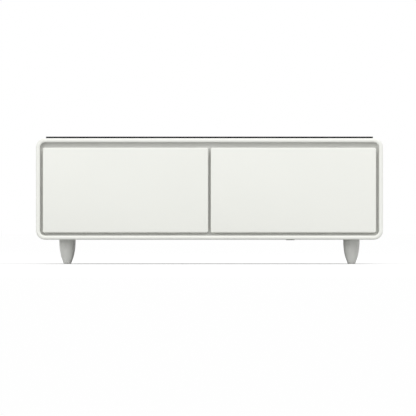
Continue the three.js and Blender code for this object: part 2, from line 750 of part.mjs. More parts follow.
function coldLiner() {
  const within = LINER_BACK_RADIUS - LINER_WALL;
  const stations = [
    ...linerStations(0),
    [-LINER_FLANGE, 0],
    [LINER_WALL, 0],
    ...arc(LINER_BACK_RADIUS, LINER_DEPTH - LINER_BACK_RADIUS, within, 180, 90, HIDDEN_STEPS),
  ];
  const place = upright(0, LINER_FRONT, 0);
  return rounded(LINER_WIDTH, LINER_HEIGHT, LINER_RADIUS, stations, place, { steps: HIDDEN_STEPS });
}

// Foam fills the sleeve from the face frame to the machine room, round both compartments
function insulationFoam() {
  const block = prism(
    roundedShape(INNER_WIDTH - 2 * SEAT_GAP, INNER_HEIGHT - 2 * SEAT_GAP, INNER_RADIUS - SEAT_GAP),
    LINER_FRONT, FOAM_BACK, upright(0, 0, MIDDLE),
  );
  const spaces = [-1, 1].flatMap((side) => {
    const tub = rounded(
      LINER_WIDTH, LINER_HEIGHT, LINER_RADIUS,
      [...linerStations(SEAT_GAP), [-LINER_FLANGE - SEAT_GAP, -OVERRUN]],
      upright(side * DRAWER_X, LINER_FRONT, DRAWER_Z), { steps: HIDDEN_STEPS },
    );
    const plate = prism(
      roundedShape(EVAPORATOR_WIDTH + 2 * SEAT_GAP, EVAPORATOR_HEIGHT + 2 * SEAT_GAP, LINER_RADIUS),
      LINER_BACK - OVERRUN, EVAPORATOR_BACK + SEAT_GAP, upright(side * DRAWER_X, 0, DRAWER_Z),
    );
    const pipes = [LINK_LOW, LINK_HIGH].map((z) => rod(
      PIPE_RADIUS + SEAT_GAP, EVAPORATOR_FRONT, FOAM_BACK + OVERRUN, upright(side * LINK_X, 0, z),
      SMALL_SIDES,
    ));
    return [tub, plate, ...pipes];
  });
  return cut(block, ...spaces);
}

// Evaporator: a flat plate with one pipe winding over its back
function evaporator(side) {
  const plate = prism(
    roundedShape(EVAPORATOR_WIDTH, EVAPORATOR_HEIGHT, LINER_RADIUS - SEAT_GAP),
    EVAPORATOR_FRONT, EVAPORATOR_FRONT + EVAPORATOR_PLATE, upright(0, 0, 0),
  );
  const pitch = 2 * EVAPORATOR_RISE / (EVAPORATOR_RUNS - 1);
  const seat = EVAPORATOR_BACK - EVAPORATOR_TUBE;
  const corners = [];
  for (let run = 0; run < EVAPORATOR_RUNS; run += 1) {
    const z = -EVAPORATOR_RISE + run * pitch;
    const inner = -side * EVAPORATOR_RUN;
    const ends = run % 2 === 0 ? [inner, -inner] : [-inner, inner];
    corners.push([ends[0], seat, z], [ends[1], seat, z]);
  }
  return fused(plate, tube(corners, EVAPORATOR_TUBE, pitch / 2 - SHARPEST_RADIUS));
}

function interiorLamp() {
  const under = OPENING_CEILING - DRAWER_Z - SEAT_GAP - LAMP_HEIGHT;
  return rounded(LAMP_WIDTH, LAMP_DEPTH, LAMP_DEPTH / 2, [
    [LAMP_EDGE, 0],
    [0, LAMP_EDGE],
    [0, LAMP_HEIGHT],
  ], flat(0, LINER_FRONT + LAMP_FROM_FRAME, under), { steps: EDGE_STEPS });
}

// Face panel of a drawer front, rounded at its visible edge; fingers hook behind its top edge
function drawerFront() {
  return rounded(FRONT_WIDTH, FRONT_HEIGHT, FRONT_RADIUS, [
    [FRONT_BACK_EDGE, FACE_THICKNESS],
    [0, FACE_THICKNESS - FRONT_BACK_EDGE],
    ...arc(FRONT_EDGE, FRONT_EDGE, FRONT_EDGE, 180, 270, EDGE_STEPS + 1),
  ], upright(0, FRONT_FACE, 0), { steps: EDGE_STEPS });
}

// Backing board, lower than the face panel by the pull, with the groove that holds the seal
function frontBacking() {
  const front = FACE_THICKNESS + SEAT_GAP;
  const place = upright(0, FRONT_FACE, 0);
  const board = rounded(FRONT_WIDTH, FRONT_HEIGHT - PULL_HEIGHT, FRONT_RADIUS, [
    [FRONT_BACK_EDGE, front],
    [0, front + FRONT_BACK_EDGE],
    [0, FRONT_THICKNESS - FRONT_BACK_EDGE],
    [FRONT_BACK_EDGE, FRONT_THICKNESS],
  ], upright(0, FRONT_FACE, -PULL_HEIGHT / 2), { steps: HIDDEN_STEPS });
  const outer = SEAL_FROM_OPENING + SEAL_WIDTH + SEAT_GAP;
  const inner = SEAL_FROM_OPENING - SEAT_GAP;
  const ring = roundedShape(
    OPENING_WIDTH + 2 * outer, OPENING_HEIGHT + 2 * outer, OPENING_RADIUS + outer, SEAL_STEPS,
  );
  ring.holes.push(roundedHole(
    OPENING_WIDTH + 2 * inner, OPENING_HEIGHT + 2 * inner, OPENING_RADIUS + inner, 0, 0, SEAL_STEPS,
  ));
  return cut(board, prism(ring, FRONT_THICKNESS - GROOVE_DEPTH, FRONT_THICKNESS + OVERRUN, place));
}

function innerDoor() {
  const place = upright(0, DOOR_FRONT, 0);
  const margin = 2 * DOOR_MARGIN;
  return rounded(OPENING_WIDTH - margin, OPENING_HEIGHT - margin, OPENING_RADIUS, [
    [0, 0],
    ...arc(DOOR_EDGE, DOOR_THICKNESS - DOOR_EDGE, DOOR_EDGE, 180, 90),
    [DOOR_RIM, DOOR_THICKNESS],
    [DOOR_RIM + DOOR_PAN_SLOPE, DOOR_THICKNESS - DOOR_PAN_DEPTH],
  ], place, { steps: SEAL_STEPS });
}

// Door seal: a barbed root in the groove, a bellows waist and a magnet bead that meets the frame
function doorSeal() {
  const deep = GROOVE_DEPTH + SEAL_GAP - 2 * SEAT_GAP;
  const waist = deep / 2;
  const left = [
    [SEAL_BEAD, 0],
    [0, SEAL_BEAD],
    [0, waist - 2 * SEAL_BEAD],
    [SEAL_WAIST, waist - SEAL_BEAD],
    [SEAL_WAIST, waist],
    [0, waist + SEAL_BEAD],
    [0, deep - SEAL_BEAD],
    [SEAL_BEAD, deep],
  ];
  const right = left.map(([inset, depth]) => [SEAL_WIDTH - inset, depth]).reverse();
  const reach = SEAL_FROM_OPENING + SEAL_WIDTH;
  return rounded(
    OPENING_WIDTH + 2 * reach, OPENING_HEIGHT + 2 * reach, OPENING_RADIUS + reach,
    [...left, ...right], upright(0, FRONT_BACK - GROOVE_DEPTH + SEAT_GAP, 0),
    { steps: SEAL_STEPS, looped: true },
  );
}

function bin() {
  const within = BIN_FLOOR_RADIUS - BIN_WALL;
  return rounded(BIN_WIDTH, BIN_LENGTH, BIN_RADIUS, [
    ...arc(BIN_FLOOR_RADIUS, BIN_FLOOR_RADIUS, BIN_FLOOR_RADIUS, 270, 180),
    [0, BIN_HEIGHT],
    [BIN_RIM_WIDTH, BIN_HEIGHT],
    [BIN_RIM_WIDTH, BIN_HEIGHT - BIN_RIM_HEIGHT + BIN_WALL],
    [BIN_WALL, BIN_HEIGHT - BIN_RIM_HEIGHT],
    ...arc(BIN_FLOOR_RADIUS, BIN_FLOOR_RADIUS, within, 180, 270),
  ], flat(0, (BIN_FRONT + BIN_BACK) / 2, BIN_FLOOR - DRAWER_Z), { steps: EDGE_STEPS });
}

// A slide's races, from the compartment's wall inward: the outer balls', the inner balls' and the
// fold of the innermost member, each a middle at (across, up) over the slide's centre line
const [OUTER_RACE, INNER_RACE, LAST_FOLD] = [0, 1, 2].map((step) => [
  RACE_OUTSIDE + step * RACE_STEP_IN,
  SLIDE_HEIGHT / 2 - RACE_OUTSIDE - step * RACE_STEP_DOWN,
]);
const MEMBER_STEP = SLIDE_STEEL + MOVING_GAP;

// The angle, below and left of a race's middle, at which a circle round it comes that far across
function raceAngle([middle], radius, across) {
  return THREE.MathUtils.radToDeg(Math.acos((middle - across) / radius)) - 180;
}

// The inside and the outside of a rolled strip that turns round a race
const inside = (race, from, to, steps) => arc(...race, RACE_RADIUS, from, to, steps);
const outside = (race, from, to, steps) => arc(...race, RACE_OUTSIDE, from, to, steps);

// One member of a slide, rolled from strip: the section's upper half is mirrored below
function slideMember(side, half) {
  const below = half.map(([across, up]) => [across, -up]).reverse();
  const wall = OPENING_WIDTH / 2 - SEAT_GAP;
  return prism(outline([...half, ...below]), 0, SLIDE_LENGTH, (across, up, deep) => new THREE.Vector3(
    side * (wall - across), SLIDE_FRONT + deep, SLIDE_Z - DRAWER_Z + up,
  ));
}

// The outer member hooks over the outer balls
function outerSlide(side) {
  return slideMember(side, [
    ...outside(OUTER_RACE, 180, RACE_LIP, RACE_STEPS),
    ...inside(OUTER_RACE, RACE_LIP, 180, RACE_STEPS),
  ]);
}

// The middle member cradles the outer balls and hooks over the inner ones
function middleSlide(side) {
  const cradleTop = raceAngle(OUTER_RACE, RACE_RADIUS, MEMBER_STEP);
  const webTop = raceAngle(OUTER_RACE, RACE_OUTSIDE, MEMBER_STEP + SLIDE_STEEL);
  return slideMember(side, [
    ...inside(OUTER_RACE, cradleTop, -RACE_SLANT, FOLD_STEPS - 1),
    ...outside(INNER_RACE, 180 - RACE_SLANT, RACE_LIP, FOLD_STEPS).slice(1),
    ...inside(INNER_RACE, RACE_LIP, 180 - RACE_SLANT, FOLD_STEPS),
    ...outside(OUTER_RACE, -RACE_SLANT, webTop, FOLD_STEPS - 1).slice(1),
  ]);
}

// The inner member cradles the inner balls and folds down to the drawer's side
function innerSlide(side) {
  const cradleEnd = raceAngle(INNER_RACE, RACE_OUTSIDE, 2 * MEMBER_STEP);
  return slideMember(side, [
    ...inside(LAST_FOLD, 0, 180 - RACE_SLANT, FOLD_STEPS),
    ...outside(INNER_RACE, -RACE_SLANT, cradleEnd, FOLD_STEPS - 1).slice(1),
    ...inside(INNER_RACE, cradleEnd, -RACE_SLANT, FOLD_STEPS - 1),
    ...outside(LAST_FOLD, 180 - RACE_SLANT, 0, FOLD_STEPS).slice(1),
  ]);
}

// Back panel: a flat sheet recessed in the sleeve, with two fields of slots and the inlet's hole
function backPanel() {
  const shape = roundedShape(
    INNER_WIDTH - 2 * SEAT_GAP, INNER_HEIGHT - 2 * SEAT_GAP, INNER_RADIUS - SEAT_GAP,
  );
  const rise = (SLOT_HEIGHT + SLOT_ROW_GAP) / 2;
  for (const side of [-1, 1]) {
    for (const row of [-1, 1]) {
      for (let slot = 0; slot < SLOT_COUNT; slot += 1) {
        const place = (slot - (SLOT_COUNT - 1) / 2) * SLOT_PITCH;
        shape.holes.push(slotOutline(side * VENT_X + place, row * rise));
      }
    }
  }
  const body = INLET_BODY_INSET - SEAT_GAP;
  shape.holes.push(roundedHole(
    INLET_WIDTH - 2 * body, INLET_HEIGHT - 2 * body, INLET_RADIUS - body, INLET_X, INLET_Z - MIDDLE,
  ));
  return prism(shape, PANEL_FRONT, PANEL_BACK, upright(0, 0, MIDDLE));
}

function slotOutline(x, z) {
  const radius = SLOT_WIDTH / 2;
  const straight = SLOT_HEIGHT / 2 - radius;
  const head = arc(x, z + straight, radius, 0, 180, SLOT_END_STEPS);
  const foot = arc(x, z - straight, radius, 180, 360, SLOT_END_STEPS);
  return new THREE.Path([...head, ...foot].map(([a, b]) => new THREE.Vector2(a, b)));
}

// Feet places of the compressor, as offsets from its middle
const FEET = [-1, 1].flatMap((sideX) => [-1, 1].map((sideY) => [
  sideX * (FEET_WIDTH / 2 - FEET_HOLE_INSET), sideY * (FEET_DEPTH / 2 - FEET_HOLE_INSET),
]));

// Hermetic compressor: a welded can in two halves on a footed plate, with its terminal cover and
// the stubs of the suction and discharge pipes
function compressor() {
  const radius = COMPRESSOR_RADIUS;
  const seam = COMPRESSOR_HEIGHT * COMPRESSOR_SEAM_SHARE;
  const can = turned([
    [0, 0],
    [radius - COMPRESSOR_BOWL, 0],
    ...arc(radius - COMPRESSOR_BOWL, COMPRESSOR_BOWL, COMPRESSOR_BOWL, 300, 360, 2),
    [radius, seam],
    [radius + COMPRESSOR_SEAM_WIDTH, seam],
    [radius + COMPRESSOR_SEAM_WIDTH, seam + COMPRESSOR_SEAM_HEIGHT],
    [radius, seam + COMPRESSOR_SEAM_HEIGHT],
    ...arc(radius - COMPRESSOR_DOME, COMPRESSOR_HEIGHT - COMPRESSOR_DOME, COMPRESSOR_DOME, 0, 90),
    [0, COMPRESSOR_HEIGHT],
  ], flat(0, 0, CAN_BASE));
  const feetTop = FEET_BASE + FEET_THICKNESS;
  const feetShape = roundedShape(FEET_WIDTH, FEET_DEPTH, FEET_RADIUS);
  const feet = cut(
    prism(feetShape, FEET_BASE, feetTop, flat(0, 0, 0)),
    ...FEET.map(([x, y]) => rod(
      GROMMET_PIN + SEAT_GAP, FEET_BASE - OVERRUN, feetTop + OVERRUN, flat(x, y, 0), SMALL_SIDES,
    )),
  );
  const cover = rounded(TERMINAL_WIDTH, TERMINAL_HEIGHT, FEET_RADIUS / 2, [
    [0, 0],
    [0, TERMINAL_DEPTH],
    [FEET_THICKNESS, TERMINAL_DEPTH + FEET_THICKNESS],
  ], (across, up, deep) => new THREE.Vector3(
    -radius + TERMINAL_DEPTH / 2 - deep, across, CAN_BASE + seam / 2 + up,
  ), { steps: HIDDEN_STEPS });
  const suction = tube([
    [radius - STUB_LENGTH, 0, SUCTION_Z],
    [SUCTION_X - COMPRESSOR_X, 0, SUCTION_Z],
  ], PIPE_RADIUS, PIPE_BEND);
  const discharge = tube([[0, 0, CAN_TOP - STUB_LENGTH], [0, 0, DISCHARGE_TOP]], PIPE_RADIUS, PIPE_BEND);
  return fused(can, feet, cover, suction, discharge);
}

function compressorRail() {
  const plate = prism(
    roundedShape(FEET_WIDTH + 2 * RAIL_MARGIN, FEET_DEPTH + 2 * RAIL_MARGIN, FEET_RADIUS + RAIL_MARGIN),
    FLOOR_IN + SEAT_GAP, RAIL_TOP, flat(0, 0, 0),
  );
  const pinTop = FEET_BASE + FEET_THICKNESS + GROMMET_PIN;
  const grommets = FEET.map(([x, y]) => turned([
    [0, RAIL_TOP - RAIL_PLATE / 2],
    [GROMMET_RADIUS, RAIL_TOP - RAIL_PLATE / 2],
    [GROMMET_RADIUS, RAIL_TOP + GROMMET_HEIGHT],
    [GROMMET_PIN, RAIL_TOP + GROMMET_HEIGHT],
    [GROMMET_PIN, pinTop],
    [0, pinTop],
  ], flat(x, y, 0), SMALL_SIDES));
  return fused(plate, ...grommets);
}

// Condenser: a pipe folded through upright fins; the two end plates stand on the cabinet's floor
function condenser() {
  const near = LANE_Y;
  const far = PANEL_FRONT - CONDENSER_BEND_REACH;
  const corners = [[-CONDENSER_STUB, near, CONDENSER_HIGH]];
  for (let run = 0; run < CONDENSER_RUNS; run += 1) {
    const z = CONDENSER_HIGH - run * CONDENSER_PITCH;
    const ends = run % 2 === 0 ? [near, far] : [far, near];
    corners.push([0, ends[0], z], [0, ends[1], z]);
  }
  corners.push([-CONDENSER_STUB, far, CONDENSER_LOW], [-CONDENSER_STUB, near, CONDENSER_LOW]);
  const bend = Math.min(PIPE_BEND, CONDENSER_PITCH / 2 - SHARPEST_RADIUS);
  const coil = tube(corners, CONDENSER_TUBE, bend);
  const first = near + CONDENSER_BEND_REACH + PIPE_BEND / 2;
  const last = far - CONDENSER_BEND_REACH - PIPE_BEND / 2;
  const half = CONDENSER_THICKNESS / 2;
  const fins = Array.from({ length: CONDENSER_FINS }, (_, fin) => {
    const y = first + (last - first) * fin / (CONDENSER_FINS - 1);
    const end = fin === 0 || fin === CONDENSER_FINS - 1;
    const thick = (end ? CONDENSER_END_PLATE : CONDENSER_FIN) / 2;
    const base = end ? FLOOR_IN + SEAT_GAP : CONDENSER_BASE;
    return box([-half, y - thick, base], [half, y + thick, CONDENSER_HEAD]);
  });
  return fused(coil, ...fins);
}

// Fan bulkhead: it parts the machine room, with a collar round the fan and a three-armed spider
// that holds the motor
function fanBulkhead() {
  const low = FLOOR_IN + SEAT_GAP - MIDDLE;
  const high = CEILING_IN - SEAT_GAP - MIDDLE;
  const near = FOAM_BACK + SEAT_GAP - ROOM_Y;
  const far = PANEL_FRONT - SEAT_GAP - ROOM_Y;
  const shape = outline([[near, low], [far, low], [far, high], [near, high]]);
  const ring = MOTOR_RADIUS + SEAT_GAP + MOTOR_RING;
  const innerHalf = THREE.MathUtils.radToDeg(Math.asin(SPIDER_ARM_WIDTH / 2 / ring));
  const outerHalf = THREE.MathUtils.radToDeg(Math.asin(SPIDER_ARM_WIDTH / 2 / FAN_HOLE));
  const spread = 360 / SPIDER_ARMS;
  for (let arm = 0; arm < SPIDER_ARMS; arm += 1) {
    const from = 90 + arm * spread;
    const to = from + spread;
    const window = [
      ...arc(0, 0, ring, from + innerHalf, to - innerHalf, SPIDER_STEPS),
      ...arc(0, 0, FAN_HOLE, to - outerHalf, from + outerHalf, SPIDER_STEPS),
    ];
    shape.holes.push(new THREE.Path(window.map(([a, b]) => new THREE.Vector2(a, b))));
  }
  const round = (radius, y, z) => new THREE.Path(
    arc(y, z, radius, 0, 360, SMALL_SIDES).slice(1).map(([a, b]) => new THREE.Vector2(a, b)),
  );
  shape.holes.push(round(MOTOR_RADIUS + SEAT_GAP, 0, 0));
  shape.holes.push(round(PIPE_RADIUS + MOVING_GAP, LANE_Y - ROOM_Y, CONDENSER_HIGH - MIDDLE));
  shape.holes.push(round(PIPE_RADIUS + MOVING_GAP, LANE_Y - ROOM_Y, LINK_LOW - MIDDLE));
  const sheet = prism(shape, 0, BULKHEAD_THICKNESS, sideways(0, ROOM_Y, MIDDLE));
  const collar = turned([
    [FAN_HOLE, BULKHEAD_THICKNESS / 2],
    [FAN_HOLE + FAN_COLLAR_WALL, BULKHEAD_THICKNESS / 2],
    [FAN_HOLE + FAN_COLLAR_WALL, FAN_COLLAR_LENGTH],
    [FAN_HOLE, FAN_COLLAR_LENGTH],
    [FAN_HOLE, BULKHEAD_THICKNESS / 2],
  ], sideways(0, ROOM_Y, MIDDLE));
  return fused(sheet, collar);
}

const HUB_START = BULKHEAD_THICKNESS + FAN_HUB_GAP;

function fanMotor() {
  const rear = -MOTOR_LENGTH + BULKHEAD_THICKNESS;
  return turned([
    [0, rear],
    [MOTOR_RADIUS - MOTOR_EDGE, rear],
    [MOTOR_RADIUS, rear + MOTOR_EDGE],
    [MOTOR_RADIUS, BULKHEAD_THICKNESS],
    [SHAFT_RADIUS, BULKHEAD_THICKNESS],
    [SHAFT_RADIUS, HUB_START + FAN_HUB_LENGTH / 2],
    [0, HUB_START + FAN_HUB_LENGTH / 2],
  ], sideways(0, ROOM_Y, MIDDLE), SMALL_SIDES);
}

// Fan rotor: a bored hub with blades that flatten and widen from root to tip
function fanRotor() {
  const bore = SHAFT_RADIUS + SEAT_GAP;
  const boreEnd = FAN_HUB_LENGTH / 2 + SEAT_GAP;
  const hub = turned([
    [0, boreEnd],
    [bore, boreEnd],
    [bore, 0],
    [FAN_HUB_RADIUS, 0],
    ...arc(FAN_HUB_RADIUS - MOTOR_EDGE, FAN_HUB_LENGTH - MOTOR_EDGE, MOTOR_EDGE, 0, 90),
    [0, FAN_HUB_LENGTH],
  ], sideways(0, 0, 0), ROUND_SIDES);
  const root = FAN_HUB_RADIUS - MOTOR_EDGE;
  const blades = Array.from({ length: FAN_BLADES }, (_, blade) => {
    const turn = blade * 2 * Math.PI / FAN_BLADES;
    const rings = Array.from({ length: FAN_BLADE_STEPS + 1 }, (_item, step) => {
      const share = step / FAN_BLADE_STEPS;
      const radius = root + (FAN_RADIUS - root) * share;
      const pitch = FAN_PITCH_AT_HUB + (FAN_PITCH_AT_TIP - FAN_PITCH_AT_HUB) * share;
      const half = Math.min(
        Math.PI * radius / FAN_BLADES * FAN_BLADE_SHARE,
        (FAN_HUB_LENGTH - FAN_BLADE_THICKNESS) / 2 / Math.sin(pitch),
      );
      const thick = FAN_BLADE_THICKNESS / 2;
      return [[-half, -thick], [half, -thick], [half, thick], [-half, thick]].map(([along, off]) => {
        const around = along * Math.cos(pitch) - off * Math.sin(pitch);
        const axial = along * Math.sin(pitch) + off * Math.cos(pitch);
        const angle = turn + around / radius;
        return new THREE.Vector3(
          FAN_HUB_LENGTH / 2 + axial, radius * Math.cos(angle), radius * Math.sin(angle),
        );
      });
    });
    return skin(rings);
  });
  return fused(hub, ...blades);
}

function dripTray() {
  return rounded(TRAY_WIDTH, ROOM_DEPTH - 2 * TRAY_MARGIN, TRAY_RADIUS, [
    [TRAY_RADIUS / 2, 0],
    [0, TRAY_HEIGHT],
    [TRAY_WALL, TRAY_HEIGHT],
    [TRAY_RADIUS / 2 + TRAY_WALL, TRAY_WALL],
  ], flat(0, 0, FLOOR_IN + SEAT_GAP), { steps: EDGE_STEPS });
}

// Control board on four pins, with its transformer coil and two relays, on the sleeve's right wall
function controlBoard() {
  const wall = INNER_WIDTH / 2 - SEAT_GAP;
  const back = wall - BOARD_STANDOFF;
  const face = back - BOARD_THICKNESS;
  const place = sideways(0, ROOM_Y, MIDDLE);
  const board = prism(
    roundedShape(BOARD_LENGTH, BOARD_HEIGHT, BOARD_PIN_RADIUS), face, back, place,
  );
  const pins = [-1, 1].flatMap((sideY) => [-1, 1].map((sideZ) => rod(
    BOARD_PIN_RADIUS, face - BOARD_THICKNESS, wall, sideways(
      0,
      ROOM_Y + sideY * (BOARD_LENGTH / 2 - BOARD_PIN_INSET),
      MIDDLE + sideZ * (BOARD_HEIGHT / 2 - BOARD_PIN_INSET),
    ), SMALL_SIDES,
  )));
  const relays = [-1, 1].map((sideY) => {
    const y = ROOM_Y + sideY * BOARD_LENGTH / 4;
    const z = MIDDLE - BOARD_HEIGHT / 4;
    const half = RELAY_SIZE / 2;
    return box([face - RELAY_HEIGHT, y - half, z - half], [back, y + half, z + half]);
  });
  const coilPlace = sideways(0, ROOM_Y, MIDDLE + BOARD_HEIGHT / 5);
  const coil = rod(COIL_RADIUS, face - COIL_HEIGHT, back, coilPlace, SMALL_SIDES);
  return fused(board, ...pins, ...relays, coil);
}

// Mains inlet: a flanged socket whose body passes through the back panel
function mainsInlet() {
  const flange = INLET_FLANGE;
  const bodyEnd = -PANEL_THICKNESS - INLET_BODY_DEPTH;
  return rounded(INLET_WIDTH, INLET_HEIGHT, INLET_RADIUS, [
    [INLET_BODY_INSET, bodyEnd],
    [INLET_BODY_INSET, 0],
    [0, 0],
    [0, flange - GLASS_EDGE],
    [GLASS_EDGE, flange],
    [INLET_MOUTH_INSET, flange],
    [INLET_MOUTH_INSET, flange - INLET_MOUTH_DEPTH],
  ], upright(INLET_X, PANEL_BACK + SEAT_GAP, INLET_Z), { steps: HIDDEN_STEPS });
}

// Refrigerant pipes: each end stops a seat gap short of what it joins
const PIPE_START = EVAPORATOR_BACK + SEAT_GAP;

function dischargePipe() {
  return tube([
    [COMPRESSOR_X, ROOM_Y, DISCHARGE_TOP + SEAT_GAP],
    [COMPRESSOR_X, ROOM_Y, CONDENSER_HIGH],
    [COMPRESSOR_X, LANE_Y, CONDENSER_HIGH],
    [CONDENSER_INLET - SEAT_GAP, LANE_Y, CONDENSER_HIGH],
  ], PIPE_RADIUS, PIPE_BEND);
}

// Filter drier, with the capillary that is brazed into it and leads to the left evaporator
function filterDrier() {
  const half = DRIER_LENGTH / 2;
  const middle = CONDENSER_INLET - CONDENSER_TUBE - SEAT_GAP - half;
  const can = turned([
    [0, -half],
    [PIPE_RADIUS, -half],
    [DRIER_RADIUS, -half + DRIER_NECK],
    [DRIER_RADIUS, half - DRIER_NECK],
    [PIPE_RADIUS, half],
    [0, half],
  ], sideways(middle, LANE_Y, CONDENSER_LOW), SMALL_SIDES);
  const turn = middle - half - 2 * PIPE_BEND;
  const capillary = tube([
    [LINK_X, PIPE_START, LINK_HIGH],
    [LINK_X, LANE_Y, LINK_HIGH],
    [turn, LANE_Y, LINK_HIGH],
    [turn, LANE_Y, CONDENSER_LOW],
    [middle, LANE_Y, CONDENSER_LOW],
  ], PIPE_RADIUS, Math.min(PIPE_BEND, LANE_Y - FOAM_BACK));
  return fused(can, capillary);
}

function linkPipe() {
  return tube([
    [LINK_X, PIPE_START, LINK_LOW],
    [LINK_X, LANE_Y, LINK_LOW],
    [-LINK_X, LANE_Y, LINK_LOW],
    [-LINK_X, PIPE_START, LINK_LOW],
  ], PIPE_RADIUS, LANE_Y - FOAM_BACK);
}

function suctionPipe() {
  const drop = SUCTION_X + 2 * PIPE_BEND;
  return tube([
    [-LINK_X, PIPE_START, LINK_HIGH],
    [-LINK_X, LANE_Y, LINK_HIGH],
    [drop, LANE_Y, LINK_HIGH],
    [drop, LANE_Y, SUCTION_Z],
    [drop, ROOM_Y, SUCTION_Z],
    [SUCTION_X + SEAT_GAP, ROOM_Y, SUCTION_Z],
  ], PIPE_RADIUS, LANE_Y - FOAM_BACK);
}

// Casing, top, legs and sensor
add(table, 'cabinet_sleeve', cabinetSleeve(), WHITE);
add(table, 'glass_top', glassTop(), BLACK_GLASS);
add(table, 'touch_control', touchControl(), BLACK_PLASTIC);
add(table, 'face_frame', faceFrame(), FRAME_WHITE);
add(table, 'back_panel', backPanel(), FRAME_WHITE);
add(table, 'insulation_foam', insulationFoam(), FOAM);
add(table, 'night_light_sensor', sensor(), BLACK_PLASTIC);
for (const place of LEG_PLACES) {
  const corner = group(table, place.x, place.y, 0);
  add(corner, `leg_${place.name}`, leg(), LEG_GREY);
  add(corner, `leg_stud_${place.name}`, legStud(), STEEL);
  add(corner, `leg_glide_${place.name}`, legGlide(), BLACK_PLASTIC);
}

// Two drawers with their compartments
for (const [name, side] of [['left', -1], ['right', 1]]) {
  const bay = group(table, side * DRAWER_X, 0, DRAWER_Z);
  add(bay, `${name}_cold_liner`, coldLiner(), LINER_WHITE);
  add(bay, `${name}_evaporator`, evaporator(side), ALUMINIUM);
  add(bay, `${name}_interior_lamp`, interiorLamp(), CLEAR);
  add(bay, `${name}_drawer_front`, drawerFront(), WHITE);
  add(bay, `${name}_front_backing`, frontBacking(), WHITE);
  add(bay, `${name}_inner_door`, innerDoor(), LINER_WHITE);
  add(bay, `${name}_door_seal`, doorSeal(), RUBBER);
  add(bay, `${name}_drawer_bin`, bin(), LINER_WHITE);
  for (const [edge, hand] of [['left', -1], ['right', 1]]) {
    add(bay, `${name}_drawer_outer_slide_${edge}`, outerSlide(hand), STEEL);
    add(bay, `${name}_drawer_middle_slide_${edge}`, middleSlide(hand), STEEL);
    add(bay, `${name}_drawer_inner_slide_${edge}`, innerSlide(hand), STEEL);
  }
}

// Machine room
const engine = group(table, COMPRESSOR_X, ROOM_Y, 0);
add(engine, 'compressor', compressor(), COMPRESSOR_BLACK);
add(engine, 'compressor_rail', compressorRail(), STEEL);
add(group(table, CONDENSER_X, 0, 0), 'condenser', condenser(), ALUMINIUM);
const airway = group(table, FAN_X, 0, 0);
add(airway, 'fan_bulkhead', fanBulkhead(), FRAME_WHITE);
add(airway, 'fan_motor', fanMotor(), BLACK_PLASTIC);
add(group(airway, HUB_START, ROOM_Y, MIDDLE), 'fan_rotor', fanRotor(), BLACK_PLASTIC);
add(group(table, TRAY_X, ROOM_Y, 0), 'drip_tray', dripTray(), BLACK_PLASTIC);
add(table, 'control_board', controlBoard(), BOARD_GREEN);
add(table, 'mains_inlet', mainsInlet(), BLACK_PLASTIC);
add(table, 'discharge_pipe', dischargePipe(), COPPER);
add(table, 'filter_drier', filterDrier(), COPPER);
add(table, 'link_pipe', linkPipe(), COPPER);
add(table, 'suction_pipe', suctionPipe(), COPPER);

export default table;
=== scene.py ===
# %% [markdown]
# # A refrigerated coffee table
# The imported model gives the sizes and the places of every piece. This lesson gives it its looks:
# smooth shells in place of the faceted ones, a finish for each surface, a studio and a camera.
# The real table is a white lacquered sleeve on four turned legs with a black glass top, and two
# insulated drawers that pull out on telescopic slides.

# %% Load the frame
import math

import bmesh
import bpy
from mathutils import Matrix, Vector


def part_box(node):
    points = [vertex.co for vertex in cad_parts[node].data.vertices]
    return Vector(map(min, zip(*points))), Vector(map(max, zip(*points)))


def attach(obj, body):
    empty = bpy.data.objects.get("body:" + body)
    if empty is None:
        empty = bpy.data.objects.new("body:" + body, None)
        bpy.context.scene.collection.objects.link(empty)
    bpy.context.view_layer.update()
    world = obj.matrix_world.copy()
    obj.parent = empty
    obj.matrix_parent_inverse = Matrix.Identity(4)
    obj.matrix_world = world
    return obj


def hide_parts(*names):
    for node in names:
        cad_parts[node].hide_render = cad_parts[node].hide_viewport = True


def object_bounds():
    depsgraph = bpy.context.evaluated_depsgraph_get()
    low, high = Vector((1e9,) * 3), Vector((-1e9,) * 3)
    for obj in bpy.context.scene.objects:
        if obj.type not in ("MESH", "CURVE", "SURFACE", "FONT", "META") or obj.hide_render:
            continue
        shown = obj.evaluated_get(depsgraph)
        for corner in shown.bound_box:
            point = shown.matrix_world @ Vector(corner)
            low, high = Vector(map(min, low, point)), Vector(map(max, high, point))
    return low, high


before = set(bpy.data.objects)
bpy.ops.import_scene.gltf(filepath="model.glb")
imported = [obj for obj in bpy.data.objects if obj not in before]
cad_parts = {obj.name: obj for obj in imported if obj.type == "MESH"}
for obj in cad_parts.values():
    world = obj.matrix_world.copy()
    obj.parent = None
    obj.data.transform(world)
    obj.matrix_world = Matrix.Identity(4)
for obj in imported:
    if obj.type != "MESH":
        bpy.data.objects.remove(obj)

cad_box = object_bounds()
MM = 0.001
X, Y, Z = 0, 1, 2
print("CAD box:", [list(corner) for corner in cad_box])

# %% [markdown]
# ## The camera
# The picture is a level front view with no visible perspective: the glass top and the floor are
# both seen edge-on. A very long lens far away gives that, and still lets other views fit
# themselves round the object, which a fixed orthographic width wouldn't. The scale comes from the
# table's width in the picture, and the height from the row where the feet meet the floor.

# %% Camera
PHOTO_SIDE = 416
MM_PER_PIXEL = 3.745
TABLE_MIDDLE_COLUMN = 209.45
FLOOR_ROW = 264.0
LENS = 1600
FILM_WIDTH = 36
FAR_END = 400


def deselect():
    bpy.ops.object.select_all(action="DESELECT")


